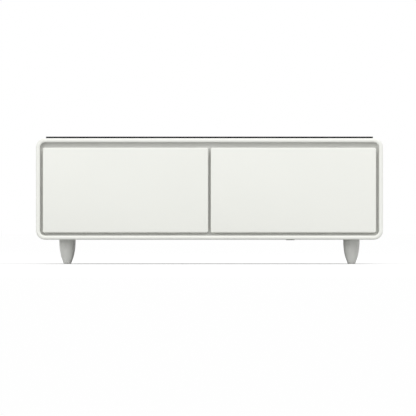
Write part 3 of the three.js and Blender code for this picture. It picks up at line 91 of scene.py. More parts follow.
half_frame = PHOTO_SIDE / 2
pixel = MM_PER_PIXEL * MM
distance = half_frame * pixel * LENS / (FILM_WIDTH / 2)
camera_place = Vector((
    (half_frame - TABLE_MIDDLE_COLUMN) * pixel,
    cad_box[0].y - distance,
    (FLOOR_ROW - half_frame) * pixel,
))
deselect()
bpy.ops.object.camera_add(location=camera_place, rotation=(math.pi / 2, 0, 0))
camera = bpy.context.object
camera.data.lens = LENS
camera.data.sensor_width = FILM_WIDTH
camera.data.clip_end = FAR_END
bpy.context.scene.camera = camera
print("camera stands", round(distance, 2), "m in front of the table")

# %% [markdown]
# ## Selecting, as by hand
# Operators act on what is selected, and loading the frame leaves all its nodes selected. So each
# step first selects one object, and in edit mode picks faces or edges by where they lie or which
# way they face. These few helpers stand for the clicks.

# %% Selection helpers
TOLERANCE = 1e-5
NEARLY_ONE = 0.999
RIM_TURN = 0.6


def only(piece):
    """Selects one object and makes it the active one."""
    deselect()
    piece.select_set(True)
    bpy.context.view_layer.objects.active = piece


def pick(piece, kind, wanted):
    """Enters edit mode with only the wanted edges or faces selected."""
    only(piece)
    bpy.ops.object.mode_set(mode="EDIT")
    bpy.ops.mesh.select_mode(type=kind)
    bpy.ops.mesh.select_all(action="DESELECT")
    mesh = bmesh.from_edit_mesh(piece.data)
    for part in mesh.edges if kind == "EDGE" else mesh.faces:
        if wanted(part):
            part.select_set(True)
    bmesh.update_edit_mesh(piece.data)


def done():
    bpy.ops.object.mode_set(mode="OBJECT")


def runs_along(axis):
    def wanted(edge):
        way = edge.verts[1].co - edge.verts[0].co
        return abs(way[axis]) > NEARLY_ONE * way.length
    return wanted


def faces_along(axis):
    return lambda face: abs(face.normal[axis]) > NEARLY_ONE


def lies_at(axis, place):
    return lambda part: all(abs(corner.co[axis] - place) < TOLERANCE for corner in part.verts)


def rim_at(axis, place):
    """Edges in a plane where the surface turns a corner, sharper than RIM_TURN in radians."""
    def wanted(edge):
        if len(edge.link_faces) != 2 or not lies_at(axis, place)(edge):
            return False
        return edge.calc_face_angle() > RIM_TURN
    return wanted


# %% [markdown]
# ## Blocks with rounded edges
# Almost every casing here starts as a block between two corners that the frame gives. A bevel on
# chosen edges then gives each its own radius, which one modifier for the whole piece wouldn't.

# %% Blocks
EDGE_STEPS = 5


def block(name, low, high):
    """A box between two corners, with its place in its mesh."""
    low, high = Vector(low), Vector(high)
    deselect()
    bpy.ops.mesh.primitive_cube_add(size=1, location=(low + high) / 2)
    piece = bpy.context.object
    piece.scale = high - low
    bpy.ops.object.transform_apply()
    piece.name = piece.data.name = name
    return piece


def round_edges(piece, wanted, radius, segments):
    pick(piece, "EDGE", wanted)
    bpy.ops.mesh.bevel(offset=radius, segments=segments, affect="EDGES")
    done()
    return piece


def slab(name, low, high, axis, radius, near=0, far=0, segments=10):
    """A block rounded along one axis, with its near and far ends rounded over."""
    piece = round_edges(block(name, low, high), runs_along(axis), radius, segments)
    if near:
        round_edges(piece, rim_at(axis, low[axis]), near, EDGE_STEPS)
    if far:
        round_edges(piece, rim_at(axis, high[axis]), far, EDGE_STEPS)
    return piece


def bar(name, size, axis, radius, **rounding):
    """A slab round the origin, to be repeated or copied to its places."""
    half = Vector(size) / 2
    return slab(name, -half, half, axis, radius, **rounding)


def from_front(low, high, inset, front, back):
    """Corners of a box that, seen from the front, lies that far inside another one."""
    return (
        Vector((low.x + inset, front, low.z + inset)),
        Vector((high.x - inset, back, high.z - inset)),
    )


# %% [markdown]
# ## Shells and cuts
# A tub or a band is an open shell, which Solidify gives its wall, as a moulded or bent sheet has.
# Holes are cut with the Boolean modifier. Each modifier is applied at once, so the next step
# works on a plain mesh.

# %% Shells and cuts
def open_faces(piece, wanted):
    pick(piece, "FACE", wanted)
    bpy.ops.mesh.delete(type="FACE")
    done()


def apply_modifier(piece, kind, **settings):
    only(piece)
    modifier = piece.modifiers.new(kind.title(), kind)
    for key, value in settings.items():
        setattr(modifier, key, value)
    bpy.ops.object.modifier_apply(modifier=modifier.name)


def thicken(piece, wall):
    """Gives an open shell its wall, on the side away from its normals."""
    apply_modifier(piece, "SOLIDIFY", thickness=wall, offset=-1, use_even_offset=True)


def discard(piece):
    bpy.data.objects.remove(piece)


def carve(piece, cutter):
    apply_modifier(piece, "BOOLEAN", object=cutter, operation="DIFFERENCE", solver="EXACT")
    discard(cutter)
    return piece


def outward(piece):
    """Merges what lies double and turns every face outwards."""
    only(piece)
    bpy.ops.object.mode_set(mode="EDIT")
    bpy.ops.mesh.select_all(action="SELECT")
    bpy.ops.mesh.remove_doubles(threshold=TOLERANCE / 10)
    bpy.ops.mesh.normals_make_consistent(inside=False)
    done()
    return piece


# %% [markdown]
# ## Extruding and turning
# A turned piece could be spun from its outline. Here it starts as a disc, which is extruded and
# scaled along its profile as on a lathe, because that closes both ends by itself. A rim is made
# the same way: extruded, then widened or drawn in by the same width all round.

# %% Extruding and turning
def extrude(move):
    """Extrudes what is selected, and moves it along the table's own axes."""
    bpy.ops.mesh.extrude_region_move(
        TRANSFORM_OT_translate={"value": move, "orient_type": "GLOBAL"},
    )


def widen(low, high, width, still):
    """Scales what is selected so that each side of its box moves out, except along one axis."""
    size = high - low
    grow = [1 if axis == still else 1 + 2 * width / size[axis] for axis in (X, Y, Z)]
    bpy.ops.transform.resize(value=grow, center_override=(low + high) / 2)


def turned(name, profile, centre=(0, 0, 0), sides=64):
    """Extrudes and scales a disc up a profile of (radius, height) pairs."""
    centre = Vector(centre)
    first_radius, first_height = profile[0]
    deselect()
    bpy.ops.mesh.primitive_circle_add(
        vertices=sides, radius=first_radius, fill_type="NGON",
        location=centre + Vector((0, 0, first_height)),
    )
    piece = bpy.context.object
    piece.name = piece.data.name = name
    bpy.ops.object.transform_apply()
    bpy.ops.object.mode_set(mode="EDIT")
    bpy.ops.mesh.select_mode(type="FACE")
    bpy.ops.mesh.select_all(action="SELECT")
    for (radius, height), (next_radius, next_height) in zip(profile, profile[1:]):
        extrude((0, 0, next_height - height))
        grow = next_radius / radius
        level = centre + Vector((0, 0, next_height))
        bpy.ops.transform.resize(value=(grow, grow, 1), center_override=level)
    done()
    return outward(piece)


# %% [markdown]
# ## Rows and copies
# What repeats is modelled once, round the origin. An Array modifier makes an even row of it, and
# Duplicate puts copies in their places, each with its own mesh.

# %% Rows and copies
def joined(name, pieces):
    only(pieces[0])
    for piece in pieces:
        piece.select_set(True)
    bpy.ops.object.join()
    result = bpy.context.view_layer.objects.active
    result.name = result.data.name = name
    return result


def placed(piece, place=(0, 0, 0), turn=(0, 0, 0)):
    """Turns a piece that was made at the origin and moves it to its place, kept in its mesh."""
    only(piece)
    piece.rotation_euler = turn
    piece.location = place
    bpy.ops.object.transform_apply()
    return piece


def copied(piece, name, place):
    only(piece)
    bpy.ops.object.duplicate(linked=False)
    twin = bpy.context.object
    twin.name = twin.data.name = name
    return placed(twin, place)


def copies(piece, name, places):
    """One object made of a copy at each place, in the place of the piece itself."""
    twins = [copied(piece, name, place) for place in places]
    discard(piece)
    return joined(name, twins)


def row(piece, count, step):
    """Repeats a piece along a step, with the middle of the row at the origin."""
    apply_modifier(
        piece, "ARRAY", count=count, use_relative_offset=False, use_constant_offset=True,
        constant_offset_displace=step,
    )
    return placed(piece, Vector(step) * (1 - count) / 2)


# %% [markdown]
# ## Finishes
# No real surface has one flat colour. Each finish here mixes two close tones through a slow noise,
# lets a finer noise move its roughness and raise a bump too small to see as a shape, and reads the
# object's own coordinates so that nothing slides when a drawer moves. What is the same all over,
# such as sheen or coat, is set on the shader's own sockets.

# %% Node helpers
NOISE_LOW, NOISE_HIGH = 0.3, 0.7
BUMP_STRENGTH = 0.5


class Finish:
    """A material or a world in the making, with short ways to add nodes."""

    def __init__(self, owner, shader="Principled BSDF"):
        owner.use_nodes = True
        self.material = owner
        self.tree = owner.node_tree
        self.shader = self.tree.nodes[shader]

    def node(self, kind, links=(), values=(), **settings):
        node = self.tree.nodes.new(kind)
        for key, value in settings.items():
            setattr(node, key, value)
        for socket, value in dict(values).items():
            node.inputs[socket].default_value = value
        for socket, source in dict(links).items():
            self.tree.links.new(source, node.inputs[socket])
        return node

    def math(self, operation, *values):
        node = self.node("ShaderNodeMath", operation=operation)
        for socket, value in zip(node.inputs, values):
            if isinstance(value, (int, float)):
                socket.default_value = value
            else:
                self.tree.links.new(value, socket)
        return node.outputs[0]

    def to_shader(self, socket, source):
        self.tree.links.new(source, self.shader.inputs[socket])

    def fixed(self, **sockets):
        """Sets the shader's own sockets, named with _ for a space."""
        for socket, value in sockets.items():
            self.shader.inputs[socket.replace("_", " ")].default_value = value

    def place(self, stretch=(1, 1, 1)):
        spot = self.node("ShaderNodeTexCoord").outputs["Object"]
        mapping = self.node("ShaderNodeMapping", {"Vector": spot}, {"Scale": stretch})
        return mapping.outputs["Vector"]

    def noise(self, where, scale, detail=3):
        values = {"Scale": scale, "Detail": detail}
        return self.node("ShaderNodeTexNoise", {"Vector": where}, values).outputs["Fac"]

    def ramp(self, source, first, second, low=NOISE_LOW, high=NOISE_HIGH):
        node = self.node("ShaderNodeValToRGB", {"Fac": source})
        for stop, position, colour in zip(node.color_ramp.elements, (low, high), (first, second)):
            stop.position = position
            stop.color = colour
        return node.outputs["Color"]

    def spread(self, source, start, end, low=NOISE_LOW, high=NOISE_HIGH, **settings):
        values = {"From Min": low, "From Max": high, "To Min": start, "To Max": end}
        node = self.node("ShaderNodeMapRange", {"Value": source}, values, **settings)
        return node.outputs["Result"]

    def bump(self, source, height):
        values = {"Distance": height, "Strength": BUMP_STRENGTH}
        return self.node("ShaderNodeBump", {"Height": source}, values).outputs["Normal"]


# %% [markdown]
# ## The finishes of this table
# White satin lacquer with a faint orange peel covers the sleeve and the drawer fronts. The frame
# behind them is powder coated, so it is duller and slightly pebbled. The legs are satin grey and
# stand on grey rubber, the slides are zinc plated with a drawn grain along their length, and
# everything inside the drawers is thermoformed plastic that washes clean. They share one recipe.

# %% Plain finishes
def toned(colour, change):
    return tuple(min(1.0, channel * (1 + change)) for channel in colour) + (1,)


def finish(name, colour, rough, metal=0.0, tone=0.02, tone_scale=5, grain_scale=600,
           grain_height=0.02, rough_spread=0.05, stretch=(1, 1, 1), **sockets):
    """The common recipe: two tones, a moving roughness and a fine bump, plus fixed sockets."""
    made = Finish(bpy.data.materials.new(name))
    where = made.place(stretch)
    slow = made.noise(where, tone_scale)
    fine = made.noise(where, grain_scale, detail=2)
    made.to_shader("Base Color", made.ramp(slow, toned(colour, -tone), toned(colour, tone)))
    made.to_shader("Roughness", made.spread(fine, rough - rough_spread, rough + rough_spread))
    made.to_shader("Normal", made.bump(fine, grain_height * MM))
    made.fixed(Metallic=metal, **sockets)
    return made


white_lacquer = finish(
    "white_lacquer", (0.845, 0.853, 0.806), 0.34, tone=0.006, tone_scale=3, grain_scale=320,
    grain_height=0.012, rough_spread=0.04, Coat_Weight=0.15, Coat_Roughness=0.12,
)
powder_coat = finish(
    "powder_coat", (0.73, 0.73, 0.705), 0.55, tone=0.015, grain_scale=900, grain_height=0.05,
)
satin_grey = finish(
    "satin_grey", (0.77, 0.775, 0.745), 0.4, tone_scale=14, grain_scale=700,
    grain_height=0.01, Specular_IOR_Level=0.25,
)
zinc_steel = finish(
    "zinc_steel", (0.62, 0.63, 0.64), 0.32, metal=1.0, tone=0.05, tone_scale=30, grain_scale=500,
    grain_height=0.01, stretch=(1, 0.03, 1),
)
liner_plastic = finish(
    "liner_plastic", (0.80, 0.82, 0.83), 0.3, tone=0.008, grain_scale=1600, grain_height=0.002,
    rough_spread=0.02, Subsurface_Weight=0.05, Subsurface_Radius=(0.01, 0.01, 0.01),
    Subsurface_Scale=0.02,
)
seal_rubber = finish(
    "seal_rubber", (0.36, 0.37, 0.37), 0.62, tone=0.04, grain_scale=1200, grain_height=0.02,
)
glide_rubber = finish(
    "glide_rubber", (0.55, 0.55, 0.53), 0.7, tone=0.03, grain_scale=1300, grain_height=0.03,
)
black_plastic = finish(
    "black_plastic", (0.018, 0.018, 0.02), 0.5, tone=0.1, grain_scale=1500, grain_height=0.04,
)
foam_yellow = finish(
    "foam_yellow", (0.78, 0.68, 0.40), 0.95, tone=0.08, tone_scale=40, grain_scale=500,
    grain_height=0.4,
)
lamp_frost = finish(
    "lamp_frost", (0.82, 0.86, 0.88), 0.5, tone=0.01, grain_scale=900, grain_height=0.02,
    Transmission_Weight=0.25,
)
mill_aluminium = finish(
    "mill_aluminium", (0.72, 0.73, 0.74), 0.4, metal=1.0, tone=0.04, tone_scale=20,
    grain_scale=800, grain_height=0.015, stretch=(0.1, 1, 1),
)
enamel_black = finish(
    "enamel_black", (0.012, 0.012, 0.014), 0.28, tone=0.08, grain_scale=200, grain_height=0.03,
    Coat_Weight=0.4,
)
drawn_copper = finish(
    "drawn_copper", (0.75, 0.38, 0.22), 0.28, metal=1.0, tone=0.12, tone_scale=25,
    grain_scale=600, grain_height=0.01,
)
print(len(bpy.data.materials), "materials so far")

# %% [markdown]
# ## Glass and circuit board
# The top is black back-painted glass, so light doesn't pass through it: a near-black base under a
# very smooth surface, with the faintest wipe marks in its roughness. Five thin rings are printed
# over the touch control, drawn by distance from evenly spaced centres. The board is green solder
# mask over darker tracks, which a cell pattern suggests.

# %% Black glass with key rings
KEY_COUNT = 5
KEY_RING = 8 * MM
KEY_LINE = 0.5 * MM
GLASS_BLACK = (0.006, 0.006, 0.007, 1)
KEY_GREY = (0.33, 0.34, 0.35, 1)
WIPE_STRETCH = (1, 4, 1)


def black_glass():
    low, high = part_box("touch_control")
    pitch = (high.x - low.x) / KEY_COUNT
    made = Finish(bpy.data.materials.new("black_glass"))
    where = made.place()
    wipe = made.noise(made.place(WIPE_STRETCH), 3)
    axes = made.node("ShaderNodeSeparateXYZ", {"Vector": where})
    across = made.math("ABSOLUTE", axes.outputs["X"])
    inside_row = made.math("LESS_THAN", across, pitch * KEY_COUNT / 2)
    off_x = made.math("PINGPONG", across, pitch / 2)
    off_y = made.math("SUBTRACT", axes.outputs["Y"], (low.y + high.y) / 2)
    squares = [made.math("MULTIPLY", off, off) for off in (off_x, off_y)]
    away = made.math("SQRT", made.math("ADD", *squares))
    from_ring = made.math("ABSOLUTE", made.math("SUBTRACT", away, KEY_RING))
    ring = made.math("MULTIPLY", made.math("LESS_THAN", from_ring, KEY_LINE), inside_row)
    made.to_shader("Base Color", made.ramp(ring, GLASS_BLACK, KEY_GREY, 0, 1))
    made.to_shader("Roughness", made.spread(wipe, 0.03, 0.07))
    made.to_shader("Normal", made.bump(made.noise(where, 40), 0.002 * MM))
    made.fixed(IOR=1.45, Specular_IOR_Level=0.12)
    return made


glass_finish = black_glass()
print("glass with", KEY_COUNT, "key rings")

# %% Circuit board
TRACK_GREEN = (0.01, 0.07, 0.03, 1)
MASK_GREEN = (0.02, 0.16, 0.07, 1)
CELL_SCALE = 160


def circuit_board():
    made = Finish(bpy.data.materials.new("circuit_board"))
    where = made.place()
    cells = made.node(
        "ShaderNodeTexVoronoi", {"Vector": where}, {"Scale": CELL_SCALE}, distance="MANHATTAN",
    ).outputs["Distance"]
    made.to_shader("Base Color", made.ramp(cells, TRACK_GREEN, MASK_GREEN))
    made.to_shader("Roughness", made.spread(made.noise(where, 300), 0.3, 0.5))
    made.to_shader("Normal", made.bump(cells, 0.05 * MM))
    return made


board_finish = circuit_board()
print(len(bpy.data.materials), "materials in all")

# %% [markdown]
# ## Fixing a finished piece to the table
# A finished piece is shaded smooth except across its real edges, gets its finish, rides on the body
# that carries it, and hides the nodes of the frame that it stands for. Then its faces are counted,
# which tells at once if a cut or a bevel has failed.

# %% Fixing helpers
def wear(piece, made):
    piece.data.materials.clear()
    piece.data.materials.append(made.material)


def fix(piece, body, made, nodes=(), smooth=35):
    only(piece)
    bpy.ops.object.shade_smooth_by_angle(angle=math.radians(smooth))
    wear(piece, made)
    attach(piece, body)
    if nodes:
        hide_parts(*nodes)
    print(piece.name, "has", len(piece.data.polygons), "faces")


# %% [markdown]
# ## The sleeve
# The cabinet is one band of board, bent round at its four long corners. A block whose long edges
# are rounded, with its front and back taken off and a wall given inwards, is the band. Its front
# and back lips are then rounded over, inside and out, which is the soft rim that the light
# catches all round the drawers. Holes for studs and sensor and the touch control's pocket are
# cut last.

# %% Sleeve
CORNERS = ("front_left", "front_right", "back_left", "back_right")
SLEEVE_RADIUS = 35 * MM
WALL = 16 * MM
LIP_RADIUS = 7 * MM
POCKET_GAP = 0.3 * MM
POCKET_DEPTH = 12 * MM
POCKET_CORNER = 8 * MM
STUD_HOLE = 4.3 * MM
SENSOR_HOLE = 13.3 * MM


def upright_at(node, height=0):
    """Where a node's upright middle line passes a height."""
    low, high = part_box(node)
    return ((low.x + high.x) / 2, (low.y + high.y) / 2, height)


def sleeve():
    low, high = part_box("cabinet_sleeve")
    shell = round_edges(block("cabinet_shell", low, high), runs_along(Y), SLEEVE_RADIUS, 16)
    open_faces(shell, faces_along(Y))
    thicken(shell, WALL)
    for end in (low.y, high.y):
        round_edges(shell, rim_at(Y, end), LIP_RADIUS, 8)
    holes = {f"leg_stud_{corner}": STUD_HOLE for corner in CORNERS}
    holes["night_light_sensor"] = SENSOR_HOLE
    for node, radius in holes.items():
        profile = [(radius, low.z - WALL), (radius, low.z + POCKET_DEPTH)]
        carve(shell, turned("hole", profile, upright_at(node), sides=48))
    low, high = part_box("touch_control")
    below = Vector((POCKET_GAP, POCKET_GAP, POCKET_GAP))
    above = Vector((POCKET_GAP, POCKET_GAP, WALL))
    carve(shell, slab("pocket", low - below, high + above, Z, POCKET_CORNER))
    fix(shell, "cabinet", white_lacquer, ["cabinet_sleeve"])


sleeve()

# %% [markdown]
# ## The glass top
# A plate of toughened glass with rounded corners and a ground and polished edge, which is a pair
# of small bevels with a flat between them.

# %% Glass
GLASS_RADIUS = 24 * MM
GLASS_EDGE = 0.8 * MM
glass = slab(
    "glass_plate", *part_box("glass_top"), Z, GLASS_RADIUS, near=GLASS_EDGE, far=GLASS_EDGE,
    segments=14,
)
fix(glass, "cabinet", glass_finish, ["glass_top"], smooth=20)

# %% [markdown]
# ## Legs
# Each leg is turned: slim at the floor, it swells fast and then runs almost straight up to the
# sleeve. One formula gives the radius at every height, so the profile is smooth. The leg and its
# rubber glide are modelled once and copied to the four corners.

# %% Legs and glides
LEG_FOOT = 13.3 * MM
LEG_HEAD = 29.2 * MM
LEG_POWER = 2.4
LEG_STEPS = 28
LEG_EDGE = 0.6 * MM
GLIDE_EDGE = 0.8 * MM
GLIDE_BASE = 2.5 * MM
GLIDE_STEM = 1 / 3


def leg_profile(low, high):
    profile = []
    for step in range(LEG_STEPS + 1):
        share = step / LEG_STEPS
        radius = LEG_FOOT + (LEG_HEAD - LEG_FOOT) * (1 - (1 - share) ** LEG_POWER)
        profile.append((radius, low + (high - low) * share))
    (foot, bottom), (head, top) = profile[0], profile[-1]
    first = [(foot - LEG_EDGE, bottom), (foot, bottom + LEG_EDGE)]
    return first + profile[1:-1] + [(head, top - LEG_EDGE), (head - LEG_EDGE, top)]


def glide_profile(low, high):
    radius = (high.x - low.x) / 2
    stem = radius * GLIDE_STEM
    base = [(radius - GLIDE_EDGE, 0), (radius, GLIDE_EDGE), (radius, GLIDE_BASE)]
    return base + [(stem, GLIDE_BASE), (stem, high.z)]


def legs():
    low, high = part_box(f"leg_{CORNERS[0]}")
    leg = turned("leg", leg_profile(low.z, high.z))
    glide = turned("glide", glide_profile(*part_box(f"leg_glide_{CORNERS[0]}")), sides=40)
    for corner in CORNERS:
        place = upright_at(f"leg_{corner}")
        twin = copied(leg, f"turned_leg_{corner}", place)
        fix(twin, "cabinet", satin_grey, [f"leg_{corner}"])
        twin = copied(glide, f"floor_glide_{corner}", place)
        fix(twin, "cabinet", glide_rubber, [f"leg_glide_{corner}"])
    discard(leg)
    discard(glide)


legs()

# %% [markdown]
# ## Drawer fronts
# A front is a lacquered face panel glued to a backing board. The panel is softly rounded at the
# edge that shows. The board stops lower, so fingertips can hook behind the panel's top edge, and a
# groove for the seal is milled into its back.

# %% Drawer fronts
SIDES = ("left", "right")
FRONT_RADIUS = 7 * MM
FRONT_EDGE = 5 * MM
FRONT_BACK_EDGE = 1 * MM
GROOVE_DEPTH = 8.3 * MM
SEAL_WIDTH = 11.4 * MM
SEAL_CORNER = 33.4 * MM


def groove_cutter(side, front, back):
    """A closed frame a little wider than the seal."""
    low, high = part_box(f"{side}_door_seal")
    outline = from_front(low, high, -POCKET_GAP, front, back)
    ring = slab("ring", *outline, Y, SEAL_CORNER + POCKET_GAP, segments=12)
    width = SEAL_WIDTH + POCKET_GAP
    inside = from_front(low, high, width, front - WALL, back + WALL)
    return carve(ring, slab("core", *inside, Y, SEAL_CORNER - width, segments=12))


def drawer_front(side):
    low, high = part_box(f"{side}_drawer_front")
    panel = slab(f"{side}_face_panel", low, high, Y, FRONT_RADIUS, FRONT_EDGE, FRONT_BACK_EDGE)
    fix(panel, f"{side}_drawer", white_lacquer, [f"{side}_drawer_front"])


def backing_board(side):
    low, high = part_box(f"{side}_front_backing")
    edge = FRONT_BACK_EDGE
    board = slab(f"{side}_backing_board", low, high, Y, FRONT_RADIUS, edge, edge)
    carve(board, groove_cutter(side, high.y - GROOVE_DEPTH, high.y + WALL))
    fix(board, f"{side}_drawer", white_lacquer, [f"{side}_front_backing"])


for side in SIDES:
    drawer_front(side)
    backing_board(side)

# %% [markdown]
# ## Face frame
# The frame behind the fronts is what shows as a grey line between them. It has one rounded
# opening for each drawer, whose edges are broken so that nothing catches.

# %% Face frame
INNER_RADIUS = 18.7 * MM
OPENING_RADIUS = 14 * MM
OPENING_EDGE = 1.2 * MM
FRAME_OVERLAP = 30 * MM


def within(low, high, wanted):
    """Narrows a choice of edges to those that, seen from the front, lie inside a box."""
    def narrowed(edge):
        middle = (edge.verts[0].co + edge.verts[1].co) / 2
        inside = all(low[k] - TOLERANCE < middle[k] < high[k] + TOLERANCE for k in (X, Z))
        return inside and wanted(edge)
    return narrowed


def face_frame():
    low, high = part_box("face_frame")
    plate = slab("front_frame", low, high, Y, INNER_RADIUS)
    for side in SIDES:
        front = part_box(f"{side}_drawer_front")
        opening = from_front(*front, FRAME_OVERLAP, low.y - WALL, high.y + WALL)
        carve(plate, slab("opening", *opening, Y, OPENING_RADIUS))
        for level in (low.y, high.y):
            round_edges(plate, within(*opening, rim_at(Y, level)), OPENING_EDGE, 3)
    fix(plate, "cabinet", powder_coat, ["face_frame"])


face_frame()

# %% [markdown]
# ## Cold compartments
# Each compartment is a tub drawn from one sheet of plastic: a block open at the front, with soft
# corners and a flange that is trapped behind the face frame. It is drawn as the inside that shows,
# and its normals end up facing into the tub, so the wall grows outwards.

# %% Liners
LINER_WALL = 3 * MM
LINER_FLANGE = 12 * MM
LINER_BACK_RADIUS = 10 * MM


def cold_liner(side):
    low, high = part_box(f"{side}_cold_liner")
    back = high.y - LINER_WALL
    inside = from_front(low, high, LINER_FLANGE + LINER_WALL, low.y, back)
    tub = round_edges(block(f"{side}_compartment", *inside), runs_along(Y), OPENING_RADIUS, 8)
    round_edges(tub, rim_at(Y, back), LINER_BACK_RADIUS - LINER_WALL, 6)
    open_faces(tub, lies_at(Y, low.y))
    pick(tub, "EDGE", lies_at(Y, low.y))
    extrude((0, 0, 0))
    widen(*inside, LINER_FLANGE + LINER_WALL, Y)
    done()
    outward(tub)
    thicken(tub, LINER_WALL)
    fix(tub, "cabinet", liner_plastic, [f"{side}_cold_liner"])


for side in SIDES:
    cold_liner(side)

# %% [markdown]
# ## Inner doors
# Behind each front, an insulated plug fills the opening. Its face is thermoformed with a raised
# rim round a shallow pan, so the pan is inset and pushed in before the long edges are rounded.

# %% Inner doors
DOOR_RIM = 26 * MM
DOOR_PAN_DEPTH = 8 * MM
DOOR_PAN_SLOPE = 6 * MM
DOOR_EDGE = 3 * MM


def inner_door(side):
    low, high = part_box(f"{side}_inner_door")
    pan = high.y - DOOR_PAN_DEPTH
    door = block(f"{side}_door_plug", low, high)
    pick(door, "FACE", lies_at(Y, high.y))
    bpy.ops.mesh.inset(thickness=DOOR_RIM, use_even_offset=True)
    extrude((0, -DOOR_PAN_DEPTH, 0))
    widen(*from_front(low, high, DOOR_RIM, low.y, high.y), -DOOR_PAN_SLOPE, Y)
    done()
    round_edges(door, runs_along(Y), OPENING_RADIUS, 8)

    def pan_corner(edge):
        deep, near = sorted(corner.co.y for corner in edge.verts)
        return abs(deep - pan) < TOLERANCE and abs(near - high.y) < TOLERANCE
    round_edges(door, pan_corner, OPENING_RADIUS, 6)
    round_edges(door, rim_at(Y, pan), DOOR_EDGE, 3)
    round_edges(door, rim_at(Y, high.y), DOOR_EDGE / 2, 3)
    fix(door, f"{side}_drawer", liner_plastic, [f"{side}_inner_door"])


for side in SIDES:
    inner_door(side)

# %% [markdown]
# ## Door seals
# A seal is one soft profile swept round the door: a root that snaps into the groove, a bellows
# and a magnet bead. Here the profile is a closed curve and the path a rounded rectangle, which
# Blender sweeps as a bevelled curve; it is then made a mesh.

# %% Door seals
SEAL_BEAD = 1.2 * MM
SEAL_WAIST = 2 * MM


def seal_profile(depth):
    """One side of the section as (from the middle, deep), then the other side mirrored."""
    half = SEAL_WIDTH / 2
    waist = depth / 2
    side = [
        (half - SEAL_BEAD, 0), (half, SEAL_BEAD), (half, waist - 2 * SEAL_BEAD),
        (half - SEAL_WAIST, waist - SEAL_BEAD), (half - SEAL_WAIST, waist),
        (half, waist + SEAL_BEAD), (half, depth - SEAL_BEAD), (half - SEAL_BEAD, depth),
    ]
    return side + [(-across, deep) for across, deep in reversed(side)]


def curve_of(name, points, cyclic=True):
    data = bpy.data.curves.new(name, "CURVE")
    data.dimensions = "3D"
    spline = data.splines.new("POLY")
    spline.points.add(len(points) - 1)
    for point, place in zip(spline.points, points):
        point.co = (*place, 1)
    spline.use_cyclic_u = cyclic
    curve = bpy.data.objects.new(name, data)
    bpy.context.scene.collection.objects.link(curve)
    return curve


def as_mesh(curve):
    only(curve)
    bpy.ops.object.convert(target="MESH")
    return bpy.context.object


def seal_path(low, high):
    """The corners of a rounded rectangle along the middle of the seal, in order."""
    path_box = from_front(low, high, SEAL_WIDTH / 2, low.y, high.y)
    flat = slab("seal_path", *path_box, Y, SEAL_CORNER - SEAL_WIDTH / 2, segments=12)
    corners = [v.co.copy() for v in flat.data.vertices if abs(v.co.y - low.y) < TOLERANCE]
    discard(flat)
    centre = (low + high) / 2
    return sorted(corners, key=lambda co: math.atan2(co.z - centre.z, co.x - centre.x))


def door_seal(side):
    low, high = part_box(f"{side}_door_seal")
    path = curve_of(f"{side}_magnet_seal", seal_path(low, high))
    points = [(deep, across, 0) for across, deep in seal_profile(high.y - low.y)]
    section = curve_of("seal_section", points)
    section.data.dimensions = "2D"
    path.data.bevel_mode = "OBJECT"
    path.data.bevel_object = section
    seal = outward(as_mesh(path))
    discard(section)
    placed(seal, (0, low.y - min(v.co.y for v in seal.data.vertices), 0))
    fix(seal, f"{side}_drawer", seal_rubber, [f"{side}_door_seal"])


for side in SIDES:
    door_seal(side)

# %% [markdown]
# ## Bins
# The bin is a deep moulded tub. Its top edge is drawn inwards and turned down, which stiffens it;
# that lip is extruded from the open edge before the wall gets its thickness. Slots in the back
# let cold air in, and low ribs on the floor keep bottles from sliding. One slot and one rib are
# modelled, and each is repeated in a row.

# %% Bins
BIN_WALL = 2.5 * MM
BIN_RADIUS = 18 * MM
BIN_FLOOR_RADIUS = 12 * MM
BIN_LIP = 4.5 * MM
BIN_LIP_DROP = 5 * MM
BIN_SLOTS = 14
BIN_SLOT_WIDTH = 5 * MM
BIN_SLOT_HEIGHT = 46 * MM
BIN_SLOT_PITCH = 30 * MM
SLOT_ROUNDING = 0.48


def bin_slots(low, high):
    size = (BIN_SLOT_WIDTH, 3 * BIN_WALL, BIN_SLOT_HEIGHT)
    slot = bar("bin_slots", size, Y, BIN_SLOT_WIDTH * SLOT_ROUNDING, segments=4)
    slots = row(slot, BIN_SLOTS, (BIN_SLOT_PITCH, 0, 0))
    level = high.z - 3 * BIN_LIP - BIN_SLOT_HEIGHT / 2
    return placed(slots, ((low.x + high.x) / 2, high.y - BIN_WALL / 2, level))


def bin_tub(side):
    low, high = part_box(f"{side}_drawer_bin")
    tub = round_edges(block(f"{side}_bin_tub", low, high), runs_along(Z), BIN_RADIUS, 8)
    round_edges(tub, rim_at(Z, low.z), BIN_FLOOR_RADIUS, 6)
    open_faces(tub, lies_at(Z, high.z))
    pick(tub, "EDGE", lies_at(Z, high.z))
    extrude((0, 0, 0))
    widen(low, high, -BIN_LIP, Z)
    extrude((0, 0, -BIN_LIP_DROP))
    done()
    outward(tub)
    thicken(tub, BIN_WALL)
    carve(tub, bin_slots(low, high))
    fix(tub, f"{side}_drawer", liner_plastic, [f"{side}_drawer_bin"])


# %% Ribs
RIB_PITCH = 26 * MM
RIB_WIDTH = 3 * MM
RIB_HEIGHT = 1.6 * MM
RIB_SUNK = BIN_WALL / 2


def bin_ribs(side):
    node = f"{side}_drawer_bin"
    low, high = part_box(node)
    size = (RIB_WIDTH, high.y - low.y - 2 * BIN_RADIUS, RIB_HEIGHT + RIB_SUNK)
    rib = bar(f"{side}_bin_ribs", size, Y, RIB_HEIGHT / 2, segments=3)
    count = int((high.x - low.x - 2 * BIN_RADIUS) / RIB_PITCH)
    ribs = row(rib, count, (RIB_PITCH, 0, 0))
    placed(ribs, upright_at(node, low.z + BIN_WALL + (RIB_HEIGHT - RIB_SUNK) / 2))
    fix(ribs, f"{side}_drawer", liner_plastic)


for side in SIDES:
    bin_tub(side)
    bin_ribs(side)

